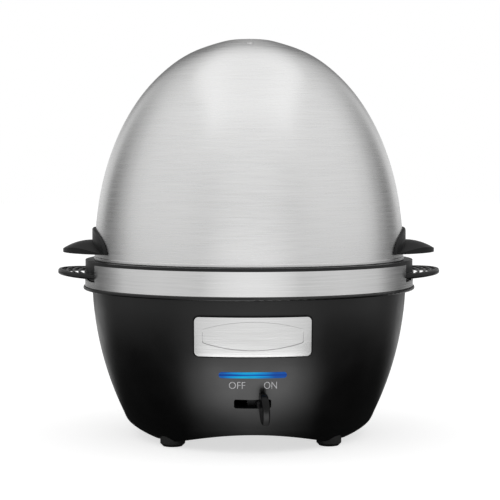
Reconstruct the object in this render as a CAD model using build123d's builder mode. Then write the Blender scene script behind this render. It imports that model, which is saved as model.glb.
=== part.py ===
from build123d import *
import math
import os

os.makedirs("parts", exist_ok=True)

# An electric egg cooker. The origin is on the floor under its middle, its front faces -Y. Millimetres.

# Clearances
seat_gap = 0.1            # between flat faces that rest on each other
lift_gap = 0.4            # round the pieces that lift out
fit_gap = 0.05            # round pins, screws and inserts in their own holes
pass_gap = 0.3            # round screws in what they clamp, and beside pieces that slide or slot in

# Feet
foot_radius = 7.0
foot_height = 8.0
foot_chamfer = 1.6
foot_inset = 4.48         # foot centres, in from the rim of the underside
foot_boss_wall = 2.4
foot_boss_top = 20.0

# Housing
housing_wall = 2.5
underside_height = 3.7    # lowest part of the plastic, beside the feet
underside_inset = 7.2     # rim of the underside, in from the ridge
ridge_height = 14.0       # where the wall turns in towards the underside
ridge_inset = 17.7        # in from the shoulder
curl_radius = 24.0
shoulder_height = 85.4    # underside of the flange
shoulder_inset = 4.3      # in from the band's face
wall_bow_radius = 185.0
flange_lip = 0.9          # past the band's face
flange_thickness = 2.0
flange_round = 0.8
arch_height = 10.5        # the four shallow arches between the feet
arch_radius = 125.0

# Band round the top of the base
band_radius = 95.6
band_height = 13.2
band_thickness = 1.0
notch_half_width = 38.7
notch_rise = 3.5          # from the band's underside up to the floor of the notch

# Tray web and grips
web_thickness = 1.7
web_inset = 0.3           # from the band's face
grip_thickness = 3.0
grip_rise = 5.5           # from the band's underside up to the grip's, at its root
grip_reach = 25.4
grip_half_width = 37.0
grip_root_inset = 9.6     # middle of the grip's oval, in from the band's face
grip_tilt = 4.0
grip_rim = 2.1
grip_rib_tall = 1.4       # the ribs between the slots are thinner than the rim
grip_slot_start = 0.5     # past the band's face
grip_slot_pitch = 3.5
grip_slot_count = 4
grip_slot_width = 2.5

# Lower egg tray
ledge_thickness = 1.6
tray_wall = 1.8
tray_plate_thickness = 2.0
tray_plate_drop = 6.7     # from the ledge's underside down to the plate's top
egg_hole_radius = 17.0
egg_collar_wall = 1.5
egg_collar_height = 1.5
lower_ring_radius = 54.0
lower_ring_count = 6
steam_hole_radius = 3.0
inner_steam_radius = 31.0
outer_steam_inset = 7.3   # in from the dish's wall
steam_pair_spread = 8.0    # degrees each side of the space between two eggs
locating_ring_thickness = 1.6
locating_ring_height = 3.0

# Upper egg tray
upper_plate_rise = 60.9   # above the lower tray's plate
upper_plate_inset = 18.9  # in from the dome's foot
upper_lip_height = 4.0
upper_lip_wall = 2.0
upper_ring_radius = 28.0
upper_ring_count = 3
upper_vent_radius = 9.0
upper_vent_inset = 14.0   # in from the legs
leg_inset = 5.0           # in from the plate's rim
leg_angle = 30.0          # degrees from +X to the first leg
leg_foot_radius = 3.2
leg_top_radius = 4.5
leg_cup_wall = 1.5
leg_cup_height = 4.0

# Lid
dome_inset = 5.7          # in from the band's face
dome_height = 127.3
dome_wall = 1.0
dome_fullness = 2.11       # exponent of its superellipse
dome_points = 9
hem_height = 1.9
hem_bulge = 0.4
vent_radius = 2.0
vent_offset = 24.0

# Lid handles
plate_stand = 1.4         # outer face of the back plate, past the dome's foot
plate_gap = 0.15          # between back plate and dome
plate_round = 1.2
plate_half_width = 41.2
plate_rise = 14.4
handle_base_rise = 4.1    # from the dome's foot up to the handle's underside
wing_length = 18.7        # past the dome's foot
wing_corner_inset = 9.0   # in from the dome's foot
wing_half_width = 39.4
wing_bulge_length = 10.7  # past the dome's foot
wing_bulge_half_width = 23.0
wing_tip_round = 5.0
wing_crown_radius = 120.0
wing_root_rise = 6.9      # above the handle's underside
wing_level = 2.1          # past the dome's foot, where the crown's level part ends
wing_bend_radius = 30.0
handle_screw_spread = 9.0  # degrees each side of the handle's middle
handle_screw_rise = 3.4   # above the handle's underside
handle_screw_length = 9.0
handle_screw_inset = 0.4   # heads stand this far inside the dome's wall

# Bowl and heating plate
sheet = 0.8
bowl_side_gap = 0.4
shelf_drop = 5.4          # from the shoulder down to the bowl's shelf
well_radius = 65.2
well_depth = 7.0
bowl_ledge_width = 8.2
stud_radius = 2.0
stud_length = 9.0
stud_offset = 0.5         # outwards from the middle of the shelf
stud_start = 90.0         # degrees from +X to the first stud
stud_count = 3
nut_height = 3.1
nut_across = 7.0
lug_thickness = 3.0
lug_width = 12.0
lug_end = 4.7             # from the stud's middle to the lug's inner end
seal_thickness = 1.5
seal_width = 5.0
plate_thickness = 1.5
casting_inset = 7.0       # in from the bowl's ledge
casting_thickness = 6.5
element_inset = 10.0      # in from the casting's rim
element_tube_radius = 3.2
element_opening = 30.0    # degrees left open at the rear
element_drop = 9.0
element_pin_radius = 1.2
element_pin_length = 6.0
clamp_thickness = 1.6
clamp_rim_thickness = 3.0
clamp_lap = 5.4           # of the ring under the casting's rim
clamp_screw_inset = 2.6   # in from the casting's rim
clamp_screw_start = 30.0  # degrees from +X to the first screw
clamp_screw_count = 3

# Thermostat and fuse
thermostat_radius = 8.0
thermostat_height = 8.0
strap_thickness = 1.0
thermostat_strap_width = 14.0
thermostat_strap_half_length = 20.0
terminal_width = 6.3
terminal_thickness = 0.8
terminal_length = 8.0
terminal_spacing = 8.0
fuse_radius = 2.0
fuse_length = 11.0
fuse_wire_radius = 0.5
fuse_wire_length = 6.0
fuse_distance = 26.0      # in front of the middle
fuse_strap_width = 6.0
fuse_strap_half_length = 9.0

# Nameplate
nameplate_width = 62.4
nameplate_tall = 21.2
nameplate_drop = 19.7     # from the shoulder down to the middle of the plate
nameplate_round = 2.4
nameplate_thickness = 0.9
bezel_line = 0.6
bezel_proud = 0.9
bezel_recess = 0.6
bezel_floor = 0.5
bead_width = 55.6
bead_tall = 16.3
bead_end = 7.4            # upright ends of the bead's barrel outline
bead_round = 2.0
bead_line = 0.9
bead_proud = 0.45

# Indicator
lens_width = 36.4
lens_tall = 3.35
lens_drop = 20.8          # below the middle of the nameplate
lens_flange = 1.0
lens_flange_thickness = 1.5
lens_flange_inset = 5.5   # from the wall's outer face at the middle
led_height = 1.5
led_width = 3.0
led_spread = 11.0
led_gap = 0.4
board_thickness = 1.6
board_width = 52.0
board_tall = 12.0
board_boss_spread = 45.2
board_boss_radius = 3.0
buzzer_radius = 6.0
buzzer_length = 8.0
buzzer_offset = 14.0

# Lever and its switch
slot_width = 20.0
slot_tall = 5.4
slot_round = 1.2
slot_drop = 16.3          # below the lens
pivot_depth = 30.0        # from the wall's outer face in to the pivot
lever_swing = 9.8         # degrees each side of the middle
arm_thickness = 4.0
arm_width = 8.0
hub_radius = 5.0
pin_radius = 2.0
pin_running_gap = 0.05
shield_radius = 25.4
shield_thickness = 1.5
shield_width = 14.0
shield_tall = 8.0
neck_width = 5.4
neck_tall = 4.2
tongue_thickness = 1.5
tongue_length = 5.0
paddle_thickness = 4.0
paddle_depth_radius = 6.3
paddle_tall_radius = 8.6
paddle_centre = 36.3      # from the pivot
paddle_stand_off = 0.9
paddle_round = 1.3
fork_distance = 11.0
fork_wall = 2.2
fork_depth = 3.2
knob_radius = 2.0
knob_gap = 0.1
shoe_length = 7.0
shoe_width = 5.0
shoe_height = 3.0
switch_length = 28.0
switch_depth = 9.6
switch_drop = 2.6         # from the arm's underside to the switch's top
switch_tall = 7.4
switch_floor = 2.0
bracket_thickness = 1.5
bracket_width = 46.0
bracket_front = 8.0
bracket_rear = 17.5
bracket_boss_spread = 37.0
bracket_boss_radius = 3.6
bracket_boss_place = 3.0
pin_head_radius = 4.0
pin_head_height = 1.4

# Small screws
screw_bite = 4.0          # thread inside the piece it is screwed into
bore_spare = 1.0          # the hole is deeper by this much
screw_head_radius = 2.6
screw_head_height = 1.8
screw_radius = 1.5

# Bottom cover
cover_inset = 18.5        # in from the rim of the underside
cover_thickness = 1.6
cover_height = 11.2       # underside of the cover
cover_lap = 6.5           # of the cover under the floor round its opening
cover_floor = 1.6
cover_screw_inset = 3.3   # in from the cover's rim
cover_screw_start = 45.0  # degrees from +X to the first screw
cover_screw_count = 4
cover_boss_radius = 3.1
cover_boss_height = 7.0
cover_pocket_wall = 2.5
cover_vent_width = 2.5
cover_vent_length = 26.0
cover_vent_pitch = 8.0
cover_vent_count = 5

# Terminal block and cord gland
block_width = 34.0
block_depth = 12.0
block_tall = 12.0
block_inset = 13.2        # middle of the block, in from the ridge
block_boss_spread = 10.0
block_boss_radius = 3.2
block_boss_top = 20.0
block_pitch = 10.0
block_hole_radius = 1.9
block_screw_radius = 2.0
block_screw_height = 1.2
gland_height = 40.0
gland_bore_radius = 3.6
gland_tube_radius = 5.8
gland_pad_radius = 10.0
gland_pad_proud = 0.4
gland_flange_radius = 8.4
gland_flange_thickness = 2.0
gland_nut_radius = 8.6
gland_nut_thickness = 3.0
gland_tail = 1.5          # tube left beyond the nut

# Foot screws and internal leads
foot_screw_head_radius = 3.4
foot_screw_head_height = 2.0
foot_screw_radius = 1.7
foot_screw_length = 13.0
foot_bore_depth = 4.5
lead_radius = 1.1
lead_bend = 5.0
lead_bite = 3.0           # how far a lead reaches into the terminal block

# Radii that step in or out from the band's face
flange_radius = band_radius + flange_lip
shoulder_radius = band_radius - shoulder_inset
ridge_radius = shoulder_radius - ridge_inset
underside_radius = ridge_radius - underside_inset
dome_radius = band_radius - dome_inset
plate_radius = dome_radius + plate_stand
cover_radius = underside_radius - cover_inset
cover_opening_radius = cover_radius - cover_lap
cover_screw_circle = cover_radius - cover_screw_inset
block_distance = ridge_radius - block_inset
grip_root_radius = band_radius - grip_root_inset
grip_slot_radii = [band_radius + grip_slot_start + grip_slot_pitch * step for step in range(grip_slot_count)]
upper_plate_radius = dome_radius - upper_plate_inset
leg_circle = upper_plate_radius - leg_inset
upper_vent_circle = leg_circle - upper_vent_inset
casting_radius = well_radius - bowl_ledge_width - casting_inset
element_radius = casting_radius - element_inset
clamp_inner_radius = casting_radius - clamp_lap
clamp_screw_circle = casting_radius - clamp_screw_inset

# The housing's wall is a shallow arc between the ridge and the shoulder
chord = math.hypot(shoulder_radius - ridge_radius, shoulder_height - ridge_height)
chord_out = (shoulder_radius - ridge_radius) / chord
chord_up = (shoulder_height - ridge_height) / chord
bow_reach = math.sqrt(wall_bow_radius ** 2 - (chord / 2) ** 2)
bow_out = (shoulder_radius + ridge_radius) / 2 - bow_reach * chord_up
bow_up = (shoulder_height + ridge_height) / 2 + bow_reach * chord_out


def wall_radius(height):
    """Radius of the housing's outer face at a height."""
    return bow_out + math.sqrt(wall_bow_radius ** 2 - (height - bow_up) ** 2)


# Heights, depths and radii that follow from the values above
bore_depth = screw_bite + bore_spare
shelf_height = shoulder_height - shelf_drop
bowl_ledge_height = shelf_height - well_depth
nameplate_height = shoulder_height - nameplate_drop
lens_height = nameplate_height - lens_drop
slot_height = lens_height - slot_drop
shell_top = shoulder_height + flange_thickness
band_bottom = shell_top + seat_gap
notch_floor_height = band_bottom + notch_rise
grip_height = band_bottom + grip_rise
band_top = band_bottom + band_height
web_outer = band_radius - web_inset
web_inner = web_outer - web_thickness
collar_outer = web_inner - lift_gap
mouth_radius = shoulder_radius - housing_wall
bowl_outer = wall_radius(shelf_height - sheet) - housing_wall - bowl_side_gap
bowl_inner = bowl_outer - sheet
stud_circle = (well_radius + bowl_outer) / 2 + stud_offset
lug_inner = stud_circle - lug_end
bowl_flange_top = band_top - band_thickness - seat_gap
collar_top = bowl_flange_top - sheet - seat_gap
collar_inner = mouth_radius + 2 * bowl_side_gap
ledge_bottom = band_top + seat_gap
ledge_top = ledge_bottom + ledge_thickness
tray_plate_top = ledge_bottom - tray_plate_drop
tray_plate_bottom = tray_plate_top - tray_plate_thickness
upper_plate_height = tray_plate_top + upper_plate_rise
dish_outer = bowl_inner - lift_gap
dish_inner = dish_outer - tray_wall
outer_steam_radius = dish_inner - outer_steam_inset
dome_base = ledge_top + seat_gap
handle_base_height = dome_base + handle_base_rise
wing_root_height = handle_base_height + wing_root_rise
handle_screw_height = handle_base_height + handle_screw_rise
ring_outer = dome_radius - dome_wall - lift_gap
ring_inner = ring_outer - locating_ring_thickness
plate_bottom = bowl_ledge_height + seal_thickness + 2 * seat_gap
casting_top = plate_bottom - seat_gap
casting_bottom = casting_top - casting_thickness
seal_outer = well_radius - 2 * seat_gap
ledge_inner = well_radius - bowl_ledge_width
clamp_top = casting_bottom - seat_gap
clamp_bottom = clamp_top - clamp_thickness
cover_top = cover_height + cover_thickness
pocket_floor_top = cover_top + cover_floor
foot_out = (underside_radius - foot_inset) / math.sqrt(2)
foot_places = [(sx * foot_out, sy * foot_out) for sy in (-1, 1) for sx in (-1, 1)]


def wall_arc(shift, low, high):
    """The wall's arc between two heights, moved outwards by shift."""
    middle = (low + high) / 2
    return ThreePointArc(
        (wall_radius(low) + shift, low),
        (wall_radius(middle) + shift, middle),
        (wall_radius(high) + shift, high),
    )


def wall_skin(outer, inner, low, high):
    """A ring that follows the wall between two offsets from its outer face."""
    with BuildPart() as skin:
        with BuildSketch(Plane.XZ):
            with BuildLine():
                wall_arc(outer, low, high)
                Line((wall_radius(high) + outer, high), (wall_radius(high) + inner, high))
                wall_arc(inner, low, high)
                Line((wall_radius(low) + inner, low), (wall_radius(low) + outer, low))
            make_face()
        revolve(axis=Axis.Z)
    return skin.part


def dome_blank(radius, height, base):
    """A solid cap with a superellipse for its outline."""
    points = []
    for step in range(dome_points + 1):
        turn = math.radians(90 * step / dome_points)
        out = max(math.cos(turn), 0) ** (2 / dome_fullness)
        up = math.sin(turn) ** (2 / dome_fullness)
        points.append((radius * out if step < dome_points else 0, base + height * up))
    with BuildPart() as blank:
        with BuildSketch(Plane.XZ):
            with BuildLine():
                Spline(points, tangents=((0, 1), (-1, 0)))
                Line((0, base + height), (0, base))
                Line((0, base), (radius, base))
            make_face()
        revolve(axis=Axis.Z)
    return blank.part


def ring(outer, inner, low, high):
    """Add a plain ring about the vertical axis to the open part."""
    with BuildSketch(Plane.XY.offset(low)) as outline:
        Circle(outer)
        Circle(inner, mode=Mode.SUBTRACT)
    extrude(outline.sketch, amount=high - low)


def disc(radius, low, high, mode=Mode.ADD):
    """Add or cut a plain disc about the vertical axis."""
    with BuildSketch(Plane.XY.offset(low)) as outline:
        Circle(radius)
    extrude(outline.sketch, amount=high - low, mode=mode)


def posts(radius, places, low, high, mode=Mode.ADD):
    """Add or cut upright round posts or holes at the places."""
    with BuildSketch(Plane.XY.offset(low)) as outline:
        with Locations(*places):
            Circle(radius)
    extrude(outline.sketch, amount=high - low, mode=mode)


def screw(place, length, head_radius=screw_head_radius, head_height=screw_head_height,
          radius=screw_radius):
    """Add a pan-head screw: its head rises along the plane's normal, its shank goes the other way."""
    with BuildSketch(place) as head:
        Circle(head_radius)
    extrude(head.sketch, amount=head_height)
    with BuildSketch(place) as shank:
        Circle(radius)
    extrude(shank.sketch, amount=-length)


def strap_face(half_inside, height, half_length):
    """Outline of a hat-shaped strap that hangs under y = 0 and holds a piece of the given height."""
    outside = half_inside + strap_thickness
    depth = height + strap_thickness
    with BuildLine() as outline:
        Polyline(
            (half_inside, 0), (half_length, 0), (half_length, -strap_thickness),
            (outside, -strap_thickness), (outside, -depth), (-outside, -depth), (-outside, -strap_thickness),
            (-half_length, -strap_thickness), (-half_length, 0), (-half_inside, 0),
            (-half_inside, -height), (half_inside, -height), close=True,
        )
    make_face(outline.edges())


def polar(radius, angle):
    """A point in plan at an angle in degrees from +X."""
    return (radius * math.cos(math.radians(angle)), radius * math.sin(math.radians(angle)))


def circle_angles(start, count):
    """Angles in degrees of so many places spread evenly round a circle."""
    return [start + 360 / count * step for step in range(count)]


# Planes of the lever: its axis lies along the sloping wall, and the arm is turned to ON at rest
slot_lean = math.asin((bow_up - slot_height) / wall_bow_radius)
slot_point = Vector(0, -wall_radius(slot_height), slot_height)
inward = Vector(0, math.cos(slot_lean), math.sin(slot_lean))
lever_axis = Vector(0, -math.sin(slot_lean), math.cos(slot_lean))
slot_plane = Plane(origin=slot_point, x_dir=(1, 0, 0), z_dir=-inward)
lever_plane = Plane(origin=slot_point + inward * pivot_depth, x_dir=(1, 0, 0), z_dir=lever_axis)
arm_across = polar(1, lever_swing)
arm_plane = Plane(
    origin=lever_plane.origin,
    x_dir=lever_plane.x_dir * arm_across[0] + lever_plane.y_dir * arm_across[1],
    z_dir=lever_axis,
)
arm_bottom = -arm_thickness / 2
switch_top = arm_bottom - switch_drop
switch_bottom = switch_top - switch_tall
bracket_top = switch_bottom - seat_gap
bracket_bottom = bracket_top - bracket_thickness
slider_travel = 2 * fork_distance * math.tan(math.radians(lever_swing))
slider_place = -slider_travel / 2
print("slider travel", round(slider_travel, 3), "ratio m/rad",
      round(-slider_travel / 1000 / math.radians(2 * lever_swing), 6))
print("lever pivot", [round(v, 3) for v in lever_plane.origin], "axis", [round(v, 5) for v in lever_axis])


# Housing: outer body
with BuildPart() as housing_body:
    with BuildSketch(Plane.XZ):
        with BuildLine():
            Line((0, underside_height), (underside_radius, underside_height))
            RadiusArc((underside_radius, underside_height), (ridge_radius, ridge_height), -curl_radius)
            wall_arc(0, ridge_height, shoulder_height)
            Polyline(
                (shoulder_radius, shoulder_height), (flange_radius, shoulder_height),
                (flange_radius, shell_top), (0, shell_top), (0, underside_height),
            )
        make_face()
    revolve(axis=Axis.Z)
    rim_edges = housing_body.edges().filter_by(GeomType.CIRCLE)
    fillet([edge for edge in rim_edges if abs(edge.radius - flange_radius) < 0.01], radius=flange_round)
    with Locations((0, 0, arch_height - arch_radius)):
        Cylinder(arch_radius, 3 * flange_radius, rotation=(90, 0, 0), mode=Mode.SUBTRACT)
        Cylinder(arch_radius, 3 * flange_radius, rotation=(0, 90, 0), mode=Mode.SUBTRACT)

# Housing: the space inside, with bosses, floor and lugs left standing in it
gland_face = wall_radius(gland_height + gland_pad_radius) + gland_pad_proud
gland_inner_face = wall_radius(gland_height - gland_pad_radius) - housing_wall - gland_pad_proud
void_radius = arch_radius + housing_wall
bracket_boss_places = [(side * bracket_boss_spread / 2, bracket_boss_place) for side in (-1, 1)]
board_boss_places = [(side * board_boss_spread / 2, lens_height) for side in (-1, 1)]
block_boss_places = [(side * block_boss_spread / 2, block_distance) for side in (-1, 1)]
cover_screw_places = [polar(cover_screw_circle, angle)
                      for angle in circle_angles(cover_screw_start, cover_screw_count)]
stud_angles = circle_angles(stud_start, stud_count)
lens_flange_front = -wall_radius(lens_height) + lens_flange_inset
led_front = lens_flange_front + lens_flange_thickness + led_gap
board_front = led_front + led_height + seat_gap
board_rear = board_front + board_thickness
lug_top = shelf_height - sheet - seat_gap
with BuildPart() as housing_void:
    with BuildSketch(Plane.XZ):
        with BuildLine():
            floor_edge = underside_radius - housing_wall
            Line((0, underside_height + housing_wall), (floor_edge, underside_height + housing_wall))
            RadiusArc(
                (floor_edge, underside_height + housing_wall),
                (ridge_radius - housing_wall, ridge_height), -curl_radius,
            )
            wall_arc(-housing_wall, ridge_height, shoulder_height)
            Polyline(
                (mouth_radius, shoulder_height), (mouth_radius, shell_top + 1),
                (0, shell_top + 1), (0, underside_height + housing_wall),
            )
        make_face()
    revolve(axis=Axis.Z)
    with Locations((0, 0, arch_height - arch_radius)):
        Cylinder(void_radius, 3 * flange_radius, rotation=(90, 0, 0), mode=Mode.SUBTRACT)
        Cylinder(void_radius, 3 * flange_radius, rotation=(0, 90, 0), mode=Mode.SUBTRACT)
    disc(cover_radius + pass_gap + cover_pocket_wall, 0, pocket_floor_top, mode=Mode.SUBTRACT)
    posts(foot_radius + foot_boss_wall, foot_places, 0, foot_boss_top, mode=Mode.SUBTRACT)
    posts(cover_boss_radius, cover_screw_places, 0, pocket_floor_top + cover_boss_height,
          mode=Mode.SUBTRACT)
    posts(block_boss_radius, block_boss_places, 0, block_boss_top, mode=Mode.SUBTRACT)
    with BuildSketch(lever_plane.offset(bracket_bottom - seat_gap)):
        with Locations(*bracket_boss_places):
            Circle(bracket_boss_radius)
    extrude(amount=-2 * slot_height, mode=Mode.SUBTRACT)
    with BuildSketch(Plane.XZ.offset(-board_front + seat_gap)):
        with Locations(*board_boss_places):
            Circle(board_boss_radius)
    extrude(amount=flange_radius, mode=Mode.SUBTRACT)
    with BuildSketch(Plane.XY.offset(lug_top - lug_thickness)):
        for angle in stud_angles:
            with Locations(Rotation(0, 0, angle) * Pos(X=mouth_radius)):
                Rectangle(2 * (mouth_radius - lug_inner), lug_width)
    extrude(amount=lug_thickness, mode=Mode.SUBTRACT)
    with BuildSketch(Plane.XZ.offset(-gland_inner_face)):
        with Locations((0, gland_height)):
            Circle(gland_pad_radius)
    extrude(amount=-flange_radius, mode=Mode.SUBTRACT)

# Nameplate and its bezel follow the curved wall; the bezel's floor lies in a shallow recess
plate_low = nameplate_height - nameplate_tall
plate_high = nameplate_height + nameplate_tall
plate_back = bezel_floor - bezel_recess + seat_gap
bezel_round = nameplate_round + bezel_line
bezel_skin = wall_skin(bezel_proud, -bezel_recess, plate_low, plate_high)
bezel_pocket = wall_skin(2 * bezel_proud, bezel_floor - bezel_recess, plate_low, plate_high)
recess_skin = wall_skin(2 * bezel_proud, -bezel_recess - seat_gap, plate_low, plate_high)
nameplate_skin = wall_skin(plate_back + nameplate_thickness, plate_back, plate_low, plate_high)
bead_skin = wall_skin(plate_back + nameplate_thickness + bead_proud, plate_back, plate_low, plate_high)


def wall_tile(skin, width, tall, corner):
    """A rounded rectangle of a wall skin, in the nameplate's place."""
    with BuildPart() as tile:
        with BuildSketch(Plane.XZ):
            with Locations((0, nameplate_height)):
                RectangleRounded(width, tall, corner)
        extrude(amount=2 * flange_radius)
        add(skin, mode=Mode.INTERSECT)
    return tile.part


bezel_width = nameplate_width + 2 * bezel_line
bezel_tall = nameplate_tall + 2 * bezel_line
bezel_seat = wall_tile(recess_skin, bezel_width + 2 * seat_gap, bezel_tall + 2 * seat_gap, bezel_round)

# Housing: body less its inside, with the collar, sockets, holes and openings
with BuildPart() as housing:
    add(housing_body.part)
    with BuildSketch(Plane.XZ.offset(-gland_face)):
        with Locations((0, gland_height)):
            Circle(gland_pad_radius)
    extrude(amount=gland_face - gland_inner_face)
    add(housing_void.part, mode=Mode.SUBTRACT)
    add(bezel_seat, mode=Mode.SUBTRACT)
    ring(collar_outer, collar_inner, shell_top - seat_gap, collar_top)
    disc(cover_radius + pass_gap, 0, cover_top + seat_gap, mode=Mode.SUBTRACT)
    disc(cover_opening_radius, 0, pocket_floor_top + 1, mode=Mode.SUBTRACT)
    posts(foot_radius + fit_gap, foot_places, 0, foot_height + seat_gap, mode=Mode.SUBTRACT)
    posts(foot_screw_radius + fit_gap, foot_places, 0, foot_bore_depth + foot_screw_length,
          mode=Mode.SUBTRACT)
    posts(screw_radius + fit_gap, cover_screw_places, 0, cover_top + bore_depth, mode=Mode.SUBTRACT)
    posts(screw_radius + fit_gap, block_boss_places, block_boss_top - bore_depth, block_boss_top,
          mode=Mode.SUBTRACT)
    with BuildSketch(Plane.XY.offset(lug_top - lug_thickness)):
        for angle in stud_angles:
            with Locations(polar(stud_circle, angle)):
                Circle(stud_radius + pass_gap)
    extrude(amount=lug_thickness, mode=Mode.SUBTRACT)
    with BuildSketch(slot_plane):
        RectangleRounded(slot_width, slot_tall, slot_round)
    extrude(amount=2 * housing_wall, both=True, mode=Mode.SUBTRACT)
    with BuildSketch(lever_plane.offset(bracket_bottom - seat_gap)):
        with Locations(*bracket_boss_places):
            Circle(screw_radius + fit_gap)
    extrude(amount=-bore_depth, mode=Mode.SUBTRACT)
    with BuildSketch(Plane.XZ.offset(-board_front)):
        with Locations(*board_boss_places):
            Circle(screw_radius + fit_gap)
    extrude(amount=bore_depth, mode=Mode.SUBTRACT)
    with BuildSketch(Plane.XZ):
        with Locations((0, lens_height)):
            SlotOverall(lens_width + 2 * fit_gap, lens_tall + 2 * fit_gap)
    extrude(amount=flange_radius, mode=Mode.SUBTRACT)
    with BuildSketch(Plane.XZ):
        with Locations((0, gland_height)):
            Circle(gland_tube_radius + fit_gap)
    extrude(amount=-flange_radius, mode=Mode.SUBTRACT)
housing.part.label = "housing"
export_step(housing.part, "parts/housing.step")

# Rim band: a channel of sheet round the collar, open at both sides where the tray's webs stand
with BuildPart() as rim_band:
    ring(band_radius, band_radius - band_thickness, band_bottom, band_top)
    ring(band_radius, collar_outer + pass_gap, band_bottom, band_bottom + band_thickness)
    ring(band_radius, collar_outer + pass_gap, band_top - band_thickness, band_top)
    with BuildSketch(Plane.XY.offset(notch_floor_height)):
        Rectangle(3 * band_radius, 2 * notch_half_width)
    extrude(amount=band_height, mode=Mode.SUBTRACT)
rim_band.part.label = "rim_band"
export_step(rim_band.part, "parts/rim_band.step")

# Inner bowl: flange on the collar, side wall, shelf, well and the ledge that carries the heating plate
with BuildPart() as inner_bowl:
    with BuildSketch(Plane.XZ):
        with BuildLine():
            Polyline(
                (collar_outer, bowl_flange_top), (bowl_inner, bowl_flange_top), (bowl_inner, shelf_height),
                (well_radius, shelf_height), (well_radius, bowl_ledge_height),
                (ledge_inner, bowl_ledge_height), (ledge_inner, bowl_ledge_height - sheet),
                (well_radius + sheet, bowl_ledge_height - sheet),
                (well_radius + sheet, shelf_height - sheet),
                (bowl_outer, shelf_height - sheet), (bowl_outer, bowl_flange_top - sheet),
                (collar_outer, bowl_flange_top - sheet), close=True,
            )
        make_face()
    revolve(axis=Axis.Z)
    stud_places = [polar(stud_circle, angle) for angle in stud_angles]
    posts(stud_radius, stud_places, shelf_height - sheet - stud_length, shelf_height - sheet)
inner_bowl.part.label = "inner_bowl"
export_step(inner_bowl.part, "parts/inner_bowl.step")

# Bowl nuts under the housing's lugs
nut_top = lug_top - lug_thickness - seat_gap
with BuildPart() as bowl_nuts:
    with BuildSketch(Plane.XY.offset(nut_top - nut_height)):
        with Locations(*stud_places):
            RegularPolygon(nut_across / 2, 6, major_radius=False)
            Circle(stud_radius + fit_gap, mode=Mode.SUBTRACT)
    extrude(amount=nut_height)
bowl_nuts.part.label = "bowl_nuts"
export_step(bowl_nuts.part, "parts/bowl_nuts.step")

# Seal, heating plate and the casting under it
with BuildPart() as plate_seal:
    seal_bottom = bowl_ledge_height + seat_gap
    ring(seal_outer, seal_outer - seal_width, seal_bottom, seal_bottom + seal_thickness)
plate_seal.part.label = "plate_seal"
export_step(plate_seal.part, "parts/plate_seal.step")

with BuildPart() as heating_plate:
    disc(seal_outer, plate_bottom, plate_bottom + plate_thickness)
    dish_ring = plate_bottom + plate_thickness
    with BuildSketch(Plane.XY.offset(dish_ring)):
        Circle(seal_outer)
        Circle(seal_outer - seal_width / 2, mode=Mode.SUBTRACT)
    extrude(amount=plate_thickness)
    top_edges = heating_plate.edges().group_by(Axis.Z)[-1]
    fillet(top_edges, radius=plate_thickness / 3)
heating_plate.part.label = "heating_plate"
export_step(heating_plate.part, "parts/heating_plate.step")

element_angles = [90 + side * element_opening / 2 for side in (-1, 1)]
element_ends = [polar(element_radius, angle) for angle in element_angles]
clamp_screw_places = [polar(clamp_screw_circle, angle)
                      for angle in circle_angles(clamp_screw_start, clamp_screw_count)]
fuse_screw_offset = fuse_radius + strap_thickness + screw_head_radius + pass_gap
fuse_screw_places = [(0, -fuse_distance + side * fuse_screw_offset) for side in (-1, 1)]
thermostat_screw_offset = thermostat_radius + strap_thickness + screw_head_radius + 2 * pass_gap
thermostat_screw_places = [(side * thermostat_screw_offset, 0) for side in (-1, 1)]
with BuildPart() as heater_casting:
    disc(casting_radius, casting_bottom, casting_top)
    with BuildSketch(Plane.XZ):
        with Locations((element_radius, casting_bottom)):
            Circle(element_tube_radius + fit_gap)
    revolve(axis=Axis.Z, mode=Mode.SUBTRACT)
    casting_screws = clamp_screw_places + fuse_screw_places + thermostat_screw_places
    posts(screw_radius + fit_gap, casting_screws, casting_bottom, casting_bottom + bore_depth,
          mode=Mode.SUBTRACT)
heater_casting.part.label = "heater_casting"
export_step(heater_casting.part, "parts/heater_casting.step")

# Heating element: a tube bent to an open ring, with its two ends and pins pointing down
with BuildPart() as heating_element:
    with BuildSketch(Plane.XZ):
        with Locations((element_radius, casting_bottom)):
            Circle(element_tube_radius)
    revolve(axis=Axis.Z, revolution_arc=360 - element_opening)
    turned = heating_element.part.rotate(Axis.Z, 90 + element_opening / 2)
with BuildPart() as element_whole:
    add(turned)
    posts(element_tube_radius, element_ends, casting_bottom - element_drop, casting_bottom)
    pin_bottom = casting_bottom - element_drop - element_pin_length
    posts(element_pin_radius, element_ends, pin_bottom, casting_bottom - element_drop)
element_whole.part.label = "heating_element"
export_step(element_whole.part, "parts/heating_element.step")

# Plate clamp ring: it hooks under the bowl's ledge and is screwed up to the casting
with BuildPart() as plate_clamp_ring:
    rim_outer = ledge_inner + clamp_rim_thickness
    ring(rim_outer, clamp_inner_radius, clamp_bottom, clamp_top)
    ring(rim_outer, ledge_inner, clamp_bottom, bowl_ledge_height - sheet - seat_gap)
    posts(screw_radius + pass_gap, clamp_screw_places, clamp_bottom, clamp_top, mode=Mode.SUBTRACT)
plate_clamp_ring.part.label = "plate_clamp_ring"
export_step(plate_clamp_ring.part, "parts/plate_clamp_ring.step")

with BuildPart() as clamp_screws:
    for place in clamp_screw_places:
        head_face = Plane(origin=(place[0], place[1], clamp_bottom - seat_gap), z_dir=(0, 0, -1))
        screw(head_face, clamp_thickness + screw_bite)
clamp_screws.part.label = "clamp_screws"
export_step(clamp_screws.part, "parts/clamp_screws.step")

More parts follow.
